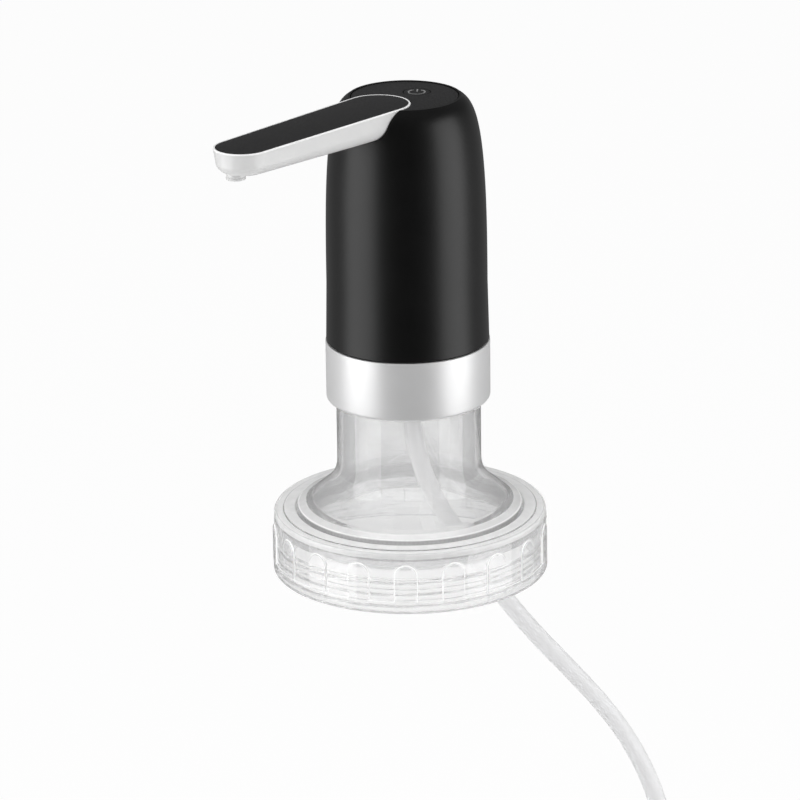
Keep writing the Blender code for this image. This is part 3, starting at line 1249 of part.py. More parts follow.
def make_power_button():
    """Round cap with a flange that keeps it in, and a stem to the switch."""
    flange = BUTTON_RADIUS + BUTTON_FLANGE_WIDTH
    outline = [
        (0, BUTTON_TOP), (BUTTON_RADIUS - BUTTON_EDGE, BUTTON_TOP),
        (BUTTON_RADIUS, BUTTON_TOP - BUTTON_EDGE), (BUTTON_RADIUS, BUTTON_FLANGE_TOP),
        (flange, BUTTON_FLANGE_TOP), (flange, BUTTON_FLANGE_BOTTOM),
        (BUTTON_STEM_RADIUS, BUTTON_FLANGE_BOTTOM), (BUTTON_STEM_RADIUS, PLUNGER_TOP + GAP),
        (0, PLUNGER_TOP + GAP),
    ]
    return turned("power_button", outline, MIDDLE_SEGMENTS, (0, BUTTON_BEHIND), closed=False)


def make_switch():
    """Push switch on the board: its body, and the plunger that moves with the button."""
    half = SWITCH_SIDE / 2
    body = block("switch_body", (-half, -half, SWITCH_BOTTOM), (half, half, SWITCH_TOP),
                 centre=(0, BUTTON_BEHIND))
    cut(body, cylinder("switch_bore", PLUNGER_RADIUS + GAP, SWITCH_TOP - SWITCH_BORE_DEPTH,
                       SWITCH_TOP + OVERRUN, (0, BUTTON_BEHIND), TINY_SEGMENTS))
    plunger = cylinder("switch_plunger", PLUNGER_RADIUS, PLUNGER_BOTTOM, PLUNGER_TOP,
                       (0, BUTTON_BEHIND), TINY_SEGMENTS)
    return body, plunger


def make_control_board():
    """Round board under the roof, with a hole for the elbow and a chip."""
    board = cylinder("control_board", BOARD_RADIUS, BOARD_BOTTOM, BOARD_TOP,
                     segments=MIDDLE_SEGMENTS)
    hole = cylinder("board_hole", ELBOW_RADIUS + BOARD_HOLE_CLEARANCE, BOARD_BOTTOM - OVERRUN,
                    BOARD_TOP + OVERRUN, (0, -ELBOW_FORWARD))
    half = CHIP_SIDE / 2
    chip = block("chip", (-half, -half, BOARD_TOP - GAP), (half, half, BOARD_TOP + CHIP_HEIGHT),
                 centre=CHIP_PLACE)
    return join(cut(board, hole), chip)


def make_charging_parts():
    """Small board on two posts, the port at the back and the light above it."""
    half = CHARGE_BOARD_WIDTH / 2
    board = block("charge_board", (-half, CHARGE_BOARD_FRONT, CHARGE_BOARD_BOTTOM),
                  (half, CHARGE_BOARD_BACK, CHARGE_BOARD_TOP))
    back = housing_radius(PORT_MIDDLE) - PORT_SINK
    front = back - PORT_DEPTH
    half = PORT_WIDTH / 2
    port = block("charge_port", (-half, front, PORT_BOTTOM), (half, back, PORT_BOTTOM + PORT_HEIGHT))
    inner = half - PORT_WALL
    mouth = block("port_mouth", (-inner, front + PORT_WALL, PORT_BOTTOM + PORT_WALL),
                  (inner, back + OVERRUN, PORT_BOTTOM + PORT_HEIGHT - PORT_WALL))
    tongue_half = PORT_HEIGHT / 8
    tongue = block("port_tongue", (-inner * 3 / 4, front + PORT_WALL / 2, PORT_MIDDLE - tongue_half),
                   (inner * 3 / 4, back - PORT_SINK * 2, PORT_MIDDLE + tongue_half))
    join(cut(port, mouth), tongue)
    light_back = housing_radius(LIGHT_HEIGHT)
    light = rod("status_light", LIGHT_RADIUS, light_back - LIGHT_DEPTH, light_back, 0,
                LIGHT_HEIGHT, SMALL_SEGMENTS)
    return board, port, light


def hose_points():
    """The hose's route in space, at its own bearing."""
    across = Vector((math.cos(HOSE_BEARING), math.sin(HOSE_BEARING), 0))
    return [across * distance + Vector((0, 0, HOSE_TOP - drop)) for distance, drop in HOSE_ROUTE]


def make_suction_hose():
    return tube("suction_hose", hose_points(), HOSE_SPACING, HOSE_RADIUS, HOSE_WALL, 3)


def paint(objects, material, collection):
    """Give finished pieces their material and put them in the model's collection."""
    for obj in objects:
        obj.data.materials.append(material)
        move_to(obj, collection)


def hang(objects, name, place):
    """Parent pieces that move together to an empty on their joint's axis."""
    empty = bpy.data.objects.new(name, None)
    empty.location = place
    bpy.context.scene.collection.objects.link(empty)
    bpy.context.view_layer.update()
    for obj in objects:
        obj.parent = empty
        obj.matrix_parent_inverse = empty.matrix_world.inverted()


def main():
    clear_scene()
    parts = new_collection("BottledWaterPump")
    new_collection("Cutters")

    clear = make_material("Clear plastic", (0.86, 0.88, 0.89), 0.06, alpha=0.35)
    black = make_material("Black plastic", (0.012, 0.012, 0.013), 0.38)
    grained = make_material("Grained black plastic", (0.02, 0.02, 0.021), 0.55)
    white = make_material("White plastic", (0.86, 0.86, 0.86), 0.22)
    silver = make_material("Satin chrome", (0.78, 0.78, 0.78), 0.26, metallic=1.0)
    steel = make_material("Steel", (0.55, 0.56, 0.57), 0.35, metallic=1.0)
    silicone = make_material("Silicone", (0.80, 0.81, 0.82), 0.45, alpha=0.7)
    rubber = make_material("Black rubber", (0.03, 0.03, 0.03), 0.7)
    grey = make_material("Grey plastic", (0.30, 0.30, 0.31), 0.5)
    board_green = make_material("Circuit board", (0.02, 0.14, 0.06), 0.45)
    wrap = make_material("Battery wrap", (0.03, 0.16, 0.42), 0.35)
    lens = make_material("Light lens", (0.85, 0.90, 0.95), 0.2)

    collar = make_screw_collar()
    seal = make_neck_seal()
    button = make_power_button()
    switch_body, plunger = make_switch()
    eccentric = make_eccentric()
    shaft = make_motor_shaft()
    charge_board, charge_port, status_light = make_charging_parts()
    housing = make_housing_shell()
    disc = make_top_disc()
    arm_shell = make_arm_shell()
    arm_cover = make_arm_cover()
    nozzle = make_nozzle()
    ring = make_base_ring()
    plate = make_base_plate()
    frame = make_inner_frame()
    battery = make_battery_cell()
    case = make_crank_case()
    head = make_pump_head()
    valves = make_valve_plate()
    diaphragm = make_diaphragm()
    wobble = make_wobble_plate()
    can = make_motor_can()
    cap = make_motor_end_cap()
    elbow = make_arm_elbow()
    tubes = [make_inlet_tube(), make_outlet_tube(), make_spout_tube()]
    hose = make_suction_hose()
    board = make_control_board()
    screws = make_frame_screws() + make_pump_screws() + make_arm_screws()

    paint([make_neck_insert(), collar], clear, parts)
    paint([make_lip_gasket(), seal, hose] + tubes, silicone, parts)
    paint([housing, button], black, parts)
    paint([disc, arm_cover], grained, parts)
    paint([arm_shell, nozzle, elbow], white, parts)
    paint([ring], silver, parts)
    paint([can, shaft, charge_port] + screws, steel, parts)
    paint([diaphragm], rubber, parts)
    paint([plate, frame, case, head, valves, wobble, eccentric, cap, plunger, switch_body],
          grey, parts)
    paint([board, charge_board], board_green, parts)
    paint([battery], wrap, parts)
    paint([status_light], lens, parts)

    bpy.context.view_layer.update()
    hang([collar], "collar_axis", (0, 0, 0))
    hang([shaft, eccentric], "motor_axis", (PUMP_X, 0, MOTOR_BOTTOM))
    hang([button, plunger], "button_axis", (0, BUTTON_BEHIND, BUTTON_TOP))
    hang([seal], "lift_axis", (0, 0, NECK_HEIGHT))
    hang([housing, disc, arm_shell, arm_cover, nozzle, elbow, ring, plate, frame, battery, case,
          head, valves, diaphragm, wobble, can, cap, hose, board, switch_body, charge_board,
          charge_port, status_light] + tubes + screws, "head_axis", (0, 0, NECK_HEIGHT))


main()
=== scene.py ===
"""Looks of the bottled-water pump: finishes, fine shells, clear parts, hose, light and camera."""

import math

import bmesh
import bpy
from mathutils import Matrix, Vector


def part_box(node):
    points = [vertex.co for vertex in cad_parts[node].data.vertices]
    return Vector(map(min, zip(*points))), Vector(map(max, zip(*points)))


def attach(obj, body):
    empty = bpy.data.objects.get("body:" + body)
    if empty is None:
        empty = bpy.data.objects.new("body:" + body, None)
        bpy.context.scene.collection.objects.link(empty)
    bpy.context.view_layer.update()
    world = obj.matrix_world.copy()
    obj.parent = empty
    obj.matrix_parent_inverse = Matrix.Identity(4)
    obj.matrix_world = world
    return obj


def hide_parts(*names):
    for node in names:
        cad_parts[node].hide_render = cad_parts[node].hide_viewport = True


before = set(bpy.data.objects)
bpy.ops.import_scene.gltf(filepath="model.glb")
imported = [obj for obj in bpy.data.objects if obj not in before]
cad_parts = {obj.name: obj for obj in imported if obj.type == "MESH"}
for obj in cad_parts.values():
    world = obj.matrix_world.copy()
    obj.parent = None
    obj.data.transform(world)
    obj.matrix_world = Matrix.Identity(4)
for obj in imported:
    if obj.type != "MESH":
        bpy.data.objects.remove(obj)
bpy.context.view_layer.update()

# Fineness
GAP = 0.0003
OVERRUN = 0.002
TURNS = 160                 # sides of a large turned piece
SMALL_TURNS = 64            # sides of a small one
FILLET_CHORDS = 6
FINE_FILLET_CHORDS = 3      # of a fillet that is hardly seen
CIRCLE = 2 * math.pi
QUARTER = math.radians(90)
WELD = 1e-7                 # points closer than this become one
SHARP = math.radians(35)    # a steeper corner between faces stays sharp

# Camera of the photograph
VIEW_AZIMUTH = math.radians(41.1)
VIEW_DISTANCE = 1.5983      # level, from the axis
VIEW_HEIGHT = 0.6161
VIEW_PITCH = math.radians(19.454)
VIEW_ROLL = math.radians(0.783)
VIEW_TURN = math.radians(0.117)
VIEW_LENS = 199.8
VIEW_SENSOR = 36.0

# Studio
FLOOR_HEIGHT = -0.330
FLOOR_REACH = 30.0
SOFTBOX_HEIGHT = 0.95
SOFTBOX_MIDDLE = 0.15       # above the object's origin
SOFTBOX_DISTANCE = 0.75
SOFTBOX_LEVEL = 2.05        # brightness of its white cloth
LEFT_SOFTBOX_ANGLE = math.radians(-69)
LEFT_SOFTBOX_WIDTH = 0.68
RIGHT_SOFTBOX_ANGLE = math.radians(70)
RIGHT_SOFTBOX_WIDTH = 0.62
TOP_LIGHT_SIZE = 0.9
TOP_LIGHT_HEIGHT = 1.3
TOP_LIGHT_ANGLE = math.radians(-25)
TOP_LIGHT_DISTANCE = 0.3
TOP_LIGHT_LEVEL = 3.6
FILL_LEVEL = 0.34           # of the soft light from all round
FLOOR_GREY = 0.9
FLOOR_WHITE = 0.96          # share of the floor that is plain white to the eye
FLOOR_ROUGHNESS = 0.8
FLOOR_SPECULAR = 0.1
FLOOR_SIDES = 64
MIRRORED_FRONT = 0.04       # brightness that gloss mirrors from the camera's side
MIRRORED_SIDES = 0.22       # what the sides are brighter than that
MIRRORED_LESS = 0.13        # what they are dimmer again higher up
FRONT_TO_SIDE = (0.97, 0.2)     # cosine of the turn away from the camera
LEVEL_TO_HIGH = (0.02, 0.30)    # upward part of a direction

# Clear neck
NECK_RADIUS = 0.0276
NECK_WALL = 0.0022
NECK_HEIGHT = 0.0700
CONE_SLOPE = math.radians(39)
CONE_FILLET = 0.014
CONE_FOOT_RADIUS = 0.0401
CONE_FOOT_FILLET = 0.0016
RIM_RADIUS = 0.0433
RIM_DROP = 0.0013
RIM_EDGE = 0.0006
FLANGE_BOTTOM = 0.0023
FLANGE_TOP = 0.0048
FLANGE_FALL = 0.0057        # from the rim's edge to the flange
FLANGE_RADIUS = 0.0486
RIM_TOP = FLANGE_TOP + FLANGE_FALL + RIM_DROP

# Lip gasket
GASKET_INNER_RADIUS = 0.0395
GASKET_OUTER_RADIUS = 0.0455
GASKET_THICKNESS = 0.0020
GASKET_EDGE = 0.0004

# Clear screw collar
COLLAR_BORE = FLANGE_RADIUS + GAP
COLLAR_WALL = 0.0034
COLLAR_RADIUS = COLLAR_BORE + COLLAR_WALL
COLLAR_HEIGHT = 0.0246
COLLAR_LIP_BOTTOM = FLANGE_TOP + GAP
COLLAR_LIP_THICKNESS = 0.0042
COLLAR_TOP = COLLAR_LIP_BOTTOM + COLLAR_LIP_THICKNESS
COLLAR_BOTTOM = COLLAR_TOP - COLLAR_HEIGHT
COLLAR_LIP_RADIUS = RIM_RADIUS + 0.0007
COLLAR_STEP_WIDTH = 0.0045
COLLAR_STEP_FALL = 0.0004
COLLAR_STEP = 0.0003
COLLAR_SHOULDER = 0.0012
COLLAR_HIGHLIGHT_DEPTH = 0.0026   # of the band of painted highlight at the top of its wall
COLLAR_BAND_HEIGHT = 0.0048
COLLAR_BAND_STAND = 0.0005
COLLAR_EDGE = 0.0006
GRIP_COUNT = 18
GRIP_WIDTH = 0.0092
GRIP_HEIGHT = 0.0150
GRIP_STAND = 0.0007
GRIP_EDGE = 0.0006
GRIP_PHASE = math.radians(-91)
GRIP_COLUMNS = 28
COLLAR_BAND_TOP = COLLAR_BOTTOM + COLLAR_BAND_HEIGHT
GRIP_SPRING = COLLAR_BAND_TOP + GRIP_HEIGHT - GRIP_WIDTH / 2
EDGE_LINE = 0.0004          # half the width of a painted highlight or painted shade line on a moulded edge
WALL_ROW = 0.0004           # height of a row of faces in its wall
THREAD_PITCH = 0.0046
THREAD_DEPTH = 0.0013
THREAD_TOP = -0.0020
THREAD_BOTTOM = -0.0140
THREAD_FADE = 0.0012
THREAD_GAP_SHARE = 0.18     # of the pitch, half the gap between ridges
THREAD_FLANK_SHARE = 0.16   # and each flank of a ridge

# Silver base ring
RING_RADIUS = 0.0313
RING_BORE = 0.0299
RING_BOTTOM = 0.0535
RING_TOP = 0.0766
RING_LIP_RADIUS = NECK_RADIUS + 0.0008
RING_LIP_THICKNESS = 0.0015
RING_BOTTOM_EDGE = 0.0014
RING_TOP_EDGE = 0.0003

# Housing, measured from its CAD node
HOUSING_FOOT_RADIUS = 0.0310
HOUSING_RADIUS = 0.0305
HOUSING_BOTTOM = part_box("housing_shell")[0].z
HOUSING_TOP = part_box("housing_shell")[1].z
HOUSING_WALL = 0.0020
HOUSING_ROOF = 0.0019       # thickness of its roof round the button
HOUSING_FOOT_EDGE = 0.0004
HOUSING_RIM_EDGE = 0.0003
SHOULDER_HEIGHT = 0.0723
SHOULDER_APEX_SHARE = 0.01245
SHOULDER_POWER_UP = 2.73
SHOULDER_POWER_ACROSS = 9
SHOULDER_STEPS = 40

# Top disc and power button
DISC_RADIUS = 0.0201
DISC_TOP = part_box("top_disc")[1].z
DISC_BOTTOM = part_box("top_disc")[0].z
DISC_EDGE = 0.0002
BUTTON_RADIUS = 0.0050
BUTTON_BEHIND = 0.0069
BUTTON_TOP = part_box("power_button")[1].z
BUTTON_FLANGE_RADIUS = 0.0062
BUTTON_FLANGE_THICKNESS = 0.0012
BUTTON_STEM_RADIUS = 0.0013
BUTTON_DISH = 0.0003
DISH_PROFILE = ((0, 1), (0.45, 0.8), (0.8, 0.2), (1, 0))    # shares of radius and depth
BUTTON_EDGE = 0.0003
SIGN_RADIUS = 0.0031
SIGN_LINE = 0.00055
SIGN_TURN = math.radians(35)
SIGN_STAND = 0.00008
SIGN_GAP_ANGLE = math.radians(28)
SIGN_BAR_REACH = 0.0036
SIGN_BAR_START = 0.0009
SIGN_RING_STEPS = 56
SIGN_BAR_STEPS = 8
SIGN_SHARP = math.radians(60)

# Spout arm
ARM_ROOT_FORWARD = 0.0154
ARM_ROOT_RADIUS = 0.0123
ARM_TIP_FORWARD = 0.0888
ARM_TIP_RADIUS = 0.0107
ARM_ROOT_DEPTH = 0.0111
ARM_TIP_DEPTH = 0.0093
ARM_DRAFT = 0.0008
ARM_BOTTOM_EDGE = 0.0040    # rounding of the lower edge
ARM_ROOT_SEEN_DEPTH = 0.0117    # the outside is fuller and rounder at its root
ARM_ROOT_SEEN_EDGE = 0.0068
ARM_WALL = 0.0013
ARM_RIM = 0.0007
ARM_RIM_EDGE = 0.0002
ARM_ARC_STEPS = 40
ARM_EDGE_CHORDS = 12
ARM_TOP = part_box("arm_shell")[1].z
ARM_COVER_THICKNESS = 0.0016
ARM_COVER_EDGE = 0.00025
ELBOW_FORWARD = 0.0140
ELBOW_HOLE_RADIUS = 0.0034

# Nozzle
NOZZLE_FORWARD = 0.0926
NOZZLE_RADIUS = 0.0036
NOZZLE_BORE = 0.0022
NOZZLE_EDGE = 0.0004
NOZZLE_GROOVE = 0.00025
NOZZLE_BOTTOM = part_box("nozzle")[0].z
NOZZLE_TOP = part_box("nozzle")[1].z

# Suction hose, as its CAD solid runs: distance from the axis, height
HOSE_RADIUS = 0.0035
HOSE_WALL = 0.0010
HOSE_BEARING = math.radians(41.1)
HOSE_SPACING = 0.0060       # between the points of its curve
HOSE_CURVE_STEPS = 24       # from one given point to the next, before spacing
HOSE_FACETS = 6             # more than the least, on each half of its round
HOSE_ROUTE = (
    (0.0000, 0.0702), (0.0000, 0.0600), (0.0002, 0.0520), (0.0012, 0.0415),
    (0.0038, 0.0280), (0.0084, 0.0145), (0.0146, 0.0025), (0.0222, -0.0090),
    (0.0306, -0.0215), (0.0399, -0.0350), (0.0500, -0.0475), (0.0602, -0.0590),
    (0.0730, -0.0740), (0.0835, -0.0890), (0.0920, -0.1060), (0.0985, -0.1260),
    (0.1030, -0.1490), (0.1055, -0.1740), (0.1065, -0.2010), (0.1066, -0.2300),
    (0.1064, -0.2600), (0.1060, -0.2980),
)

# Clear plastic
CLEARNESS = 0.88            # share of the light that passes into it
CLEAR_SOLIDITY = 0.85       # its alpha
CLEAR_SHADOW = 0.95         # share of the light that passes each wall on its way to what is behind
PAINTED_SHADE_GREY = 0.08            # grey of its painted shade lines
PAINTED_HIGHLIGHT_WHITE = 0.97           # and white of its painted highlights

# Grain of the black inlays, and the copper runs of the boards
LEATHER_CELL = 0.00042
LEATHER_PORE = 0.00016
LEATHER_DEPTH = 0.00006
COPPER_RUN = 0.004


# -------- finishes

class Signal:
    """An output of a node tree, on which Python's operators add Math nodes."""

    def __init__(self, tree, output):
        self.tree = tree
        self.output = output

    def __add__(self, other):
        return self.tree.maths("ADD", self, other)

    def __sub__(self, other):
        return self.tree.maths("SUBTRACT", self, other)

    def __rsub__(self, other):
        return self.tree.maths("SUBTRACT", other, self)

    def __mul__(self, other):
        return self.tree.maths("MULTIPLY", self, other)

    __radd__ = __add__
    __rmul__ = __mul__


class NodeTree:
    """A node tree that is filled by one method."""

    def __init__(self, tree):
        self.tree = tree

    def feed(self, socket, value):
        if isinstance(value, Signal):
            self.tree.links.new(value.output, socket)
        else:
            socket.default_value = value

    def node(self, kind, settings=None, sockets=None, output=0):
        """Add a node, set its settings, then give its sockets values or links."""
        made = self.tree.nodes.new("ShaderNode" + kind)
        for setting, value in (settings or {}).items():
            setattr(made, setting, value)
        for socket, value in (sockets or {}).items():
            self.feed(made.inputs[socket], value)
        return Signal(self, made.outputs[output])

    def maths(self, operation, first, second):
        return self.node("Math", {"operation": operation}, {0: first, 1: second})

    def most(self, first, second):
        return self.maths("MAXIMUM", first, second)

    def vector_maths(self, operation, first, second, output=0):
        return self.node("VectorMath", {"operation": operation}, {0: first, 1: second}, output)

    def between(self, value, low, high):
        """0 where a value is at low, 1 where it is at high, smooth between."""
        return self.node("MapRange", {"interpolation_type": "SMOOTHSTEP"},
                         {"Value": value, "From Min": low, "From Max": high})

    def mix_colours(self, mask, first, second):
        return self.node("Mix", {"data_type": "RGBA"}, {0: mask, 6: first, 7: second}, 2)


class Finish(NodeTree):
    """One material with a Principled BSDF and the nodes that vary it."""

    def __init__(self, name, uniform):
        self.material = bpy.data.materials.new(name)
        self.material.use_nodes = True
        super().__init__(self.material.node_tree)
        self.shader = self.tree.nodes["Principled BSDF"]
        for socket, value in uniform.items():
            self.shader.inputs[socket].default_value = value
        self.place = self.node("TexCoord", output="Object")

    def noise(self, size, detail, roughness=0.5, upright=1.0):
        """Noise from 0 to 1 in patches of about a size, finer upright by a factor."""
        place = self.place
        if upright != 1.0:
            place = self.vector_maths("MULTIPLY", place, (1, 1, upright))
        return self.node("TexNoise", None, {
            "Vector": place, "Scale": 1 / size, "Detail": detail, "Roughness": roughness})

    def cells(self, size):
        return self.node("TexVoronoi", None, {"Vector": self.place, "Scale": 1 / size},
                         "Distance")

    def bump(self, height, depth, strength):
        return self.node("Bump", None,
                         {"Height": height, "Strength": strength, "Distance": depth})

    def part(self, axis):
        return self.node("SeparateXYZ", None, {0: self.place}, axis)

    def reach(self):
        """Distance from the axis."""
        level = self.vector_maths("MULTIPLY", self.place, (1, 1, 0))
        return self.vector_maths("LENGTH", level, (0, 0, 0), "Value")

    def band(self, value, low, high, soft=EDGE_LINE):
        """1 from low to high, fading to 0 over a soft edge at both ends."""
        return (self.between(value, low - soft, low)
                * (1 - self.between(value, high, high + soft)))

    def line(self, value, place):
        return self.band(value, place, place)

    def vary(self, sockets):
        for socket, value in sockets.items():
            self.feed(self.shader.inputs[socket], value)
        return self.material

    def overlay(self, mask, shader):
        """Lay a second shader over the first by a mask."""
        first = Signal(self, self.shader.outputs[0])
        return self.node("MixShader", None, {0: mask, 1: first, 2: shader})

    def light_passes(self, shader):
        """Let most of the light through to what lies behind clear plastic."""
        shadow = self.node("LightPath", output="Is Shadow Ray")
        clear = self.node("BsdfTransparent", None, {"Color": grey(CLEAR_SHADOW)})
        return self.node("MixShader", None, {0: shadow, 1: shader, 2: clear})

    def show(self, shader):
        self.feed(self.tree.nodes["Material Output"].inputs["Surface"], shader)
        return self.material


def grey(level, tint=0.0):
    return (level, level, level * (1 + tint), 1.0)


def patchy(name, uniform, coarse, colours, roughness, relief, fine=None):
    """A finish whose colour follows coarse noise, and whose relief follows fine noise.

    A noise is given by its size, detail, roughness and upright fineness, the roughness by its
    least value and what coarse and fine noise add, and the relief by its depth and strength.
    """
    finish = Finish(name, uniform)
    broad = finish.noise(*coarse)
    narrow = finish.noise(*fine) if fine else broad
    least, by_broad, by_narrow = roughness
    for patches, share in ((broad, by_broad), (narrow, by_narrow)):
        if share:
            least = least + patches * share
    return finish.vary({
        "Base Color": finish.mix_colours(broad, *colours),
        "Roughness": least,
        "Normal": finish.bump(narrow, *relief),
    })


def plain_finishes():
    """The finishes of the opaque pieces, by name."""
    # name, uniform values, coarse noise, colours, roughness, relief, fine noise
    rows = (
        ("satin black plastic", {"IOR": 1.47}, (0.012, 3.0),
         (grey(0.0022), grey(0.0036, 0.04)), (0.33, 0.04, 0.04), (0.000012, 0.5),
         (0.00022, 2.0)),
        ("satin chrome", {"Metallic": 0.48, "IOR": 1.5}, (0.014, 2.0),
         (grey(0.78), grey(0.83, 0.006)), (0.38, 0, 0.06), (0.000008, 0.5),
         (0.01, 3.0, 0.6, 90.0)),
        ("grey moulding", {"IOR": 1.48}, (0.006, 3.0),
         (grey(0.276, 0.01), grey(0.318, 0.01)), (0.46, 0, 0.08), (0.00002, 0.5),
         (0.0003, 2.0)),
        ("plated steel", {"Metallic": 1.0}, (0.004, 4.0, 0.6, 14.0),
         (grey(0.50), grey(0.64, 0.01)), (0.26, 0.18, 0), (0.00001, 0.5)),
        ("black rubber", {"IOR": 1.5}, (0.0012, 4.0),
         (grey(0.018), grey(0.04)), (0.62, 0.18, 0), (0.00003, 0.5)),
        ("battery wrap", {"IOR": 1.5}, (0.005, 3.0, 0.6, 0.3),
         ((0.015, 0.10, 0.32, 1), (0.03, 0.16, 0.42, 1)), (0.24, 0.12, 0), (0.00008, 0.5)),
        ("light lens", {"IOR": 1.5, "Transmission Weight": 0.5}, (0.0008, 2.0),
         ((0.75, 0.82, 0.9, 1), (0.9, 0.95, 1.0, 1)), (0.15, 0.2, 0), (0.00002, 0.5)),
        ("sign print", {"IOR": 1.5}, (0.0005, 3.0),
         (grey(0.20), grey(0.27)), (0.35, 0.15, 0), (0.00001, 0.5)),
    )
    return {name: patchy(name, *values) for name, *values in rows}


def grained_black_plastic():
    """Black inlay with a fine leather grain."""
    finish = Finish("grained black plastic", {"IOR": 1.46})
    height = finish.cells(LEATHER_CELL) * 0.8 + finish.noise(LEATHER_PORE, 3.0) * 0.35
    raised = finish.between(height, 0.25, 0.75)
    return finish.vary({
        "Base Color": finish.mix_colours(raised, grey(0.013), grey(0.024, 0.03)),
        "Roughness": 0.62 - raised * 0.14,
        "Normal": finish.bump(height, LEATHER_DEPTH, 0.7),
    })


def gloss_white_plastic():
    """White moulding of the arm, glossy with a faint waviness, and a painted highlight along its
    rim.
    """
    finish = Finish("gloss white plastic", {"IOR": 1.5, "Coat Roughness": 0.08})
    wave = finish.noise(0.009, 2.0)
    peel = finish.noise(0.0022, 1.0)
    # painted highlight: the rim at the top is coloured whiter than the sides
    rim = finish.between(finish.part("Z"), ARM_TOP - ARM_RIM, ARM_TOP - ARM_RIM_EDGE)
    body = finish.mix_colours(wave, grey(0.72), grey(0.76, -0.005))
    return finish.vary({
        "Base Color": finish.mix_colours(rim, body, grey(0.95)),
        "Roughness": 0.30 + peel * 0.05,
        "Coat Weight": 0.15 + wave * 0.1,
        "Normal": finish.bump(peel, 0.00001, 0.2),
    })


def clear_plastic(name, level, edgewise_level, flow_size, flow_depth, marks):
    """Clear moulding, greyer where it is seen through edgewise, with painted highlights and
    painted shade.

    The marks are two masks: painted highlights, where a white shader is laid over edges and faces
    that catch the light, and painted shade, where its body is darkened.
    """
    finish = Finish(name, {
        "Transmission Weight": CLEARNESS, "IOR": 1.49, "Alpha": CLEAR_SOLIDITY})
    # masks of painted highlights and painted shade
    painted_highlights, painted_shade = marks(finish)
    flow = finish.noise(flow_size, 1.5, 0.4, 1.6)
    haze = finish.noise(0.004, 3.0)
    normal = finish.bump(flow, flow_depth, 0.5)
    edgewise = finish.node("LayerWeight", None, {"Blend": 0.3}, "Facing")
    body = finish.mix_colours(haze, grey(level), grey(level + 0.03, 0.004))
    body = finish.mix_colours(edgewise, body, grey(edgewise_level))
    finish.vary({
        # painted shade darkens the colour in gaps and grooves
        "Base Color": finish.mix_colours(painted_shade, body, grey(PAINTED_SHADE_GREY)),
        "Roughness": 0.015 + finish.between(haze, 0.45, 0.8) * 0.04,
        "Normal": normal,
    })
    # white shader laid over the clear plastic as painted highlights
    edge = finish.node("BsdfPrincipled", None, {
        "Base Color": grey(PAINTED_HIGHLIGHT_WHITE), "Roughness": 0.25, "IOR": 1.5, "Normal": normal})
    # painted highlights vary in strength with the haze noise
    highlight_unevenness = 0.85 + haze * 0.3
    mask = finish.maths("MINIMUM", painted_highlights * highlight_unevenness, 1.0)
    return finish.show(finish.light_passes(finish.overlay(mask, edge)))


def neck_marks(finish):
    """Painted highlights on the rim's top and its outer edge, painted shadow on the wall under the
    rim, and painted shade inside the cone, darker towards its foot.
    """
    reach = finish.reach()
    up = finish.part("Z")
    edge = RIM_RADIUS - RIM_EDGE
    outer = RIM_RADIUS - RIM_EDGE / 2
    upper = finish.between(up, FLANGE_TOP + GAP, RIM_TOP - RIM_DROP - RIM_EDGE)
    # painted highlights on the rim's top face and its outer corner
    face = finish.band(reach, CONE_FOOT_RADIUS, edge) * upper
    corner = finish.band(reach, edge, outer) * upper
    # painted shadow on the wall under the rim, in the gap by the collar
    wall = (finish.between(reach, outer, RIM_RADIUS - RIM_EDGE / 4)
            * finish.between(up, FLANGE_TOP, FLANGE_TOP + GAP))
    # painted shade inside the cone, darker towards its foot
    inside = 1 - finish.between(reach, CONE_FOOT_RADIUS - EDGE_LINE, CONE_FOOT_RADIUS)
    foot = finish.between(up, 2 * RIM_TOP, RIM_TOP) * inside
    return finish.most(face * 0.6, corner * 0.85), finish.most(wall, foot * 0.12)


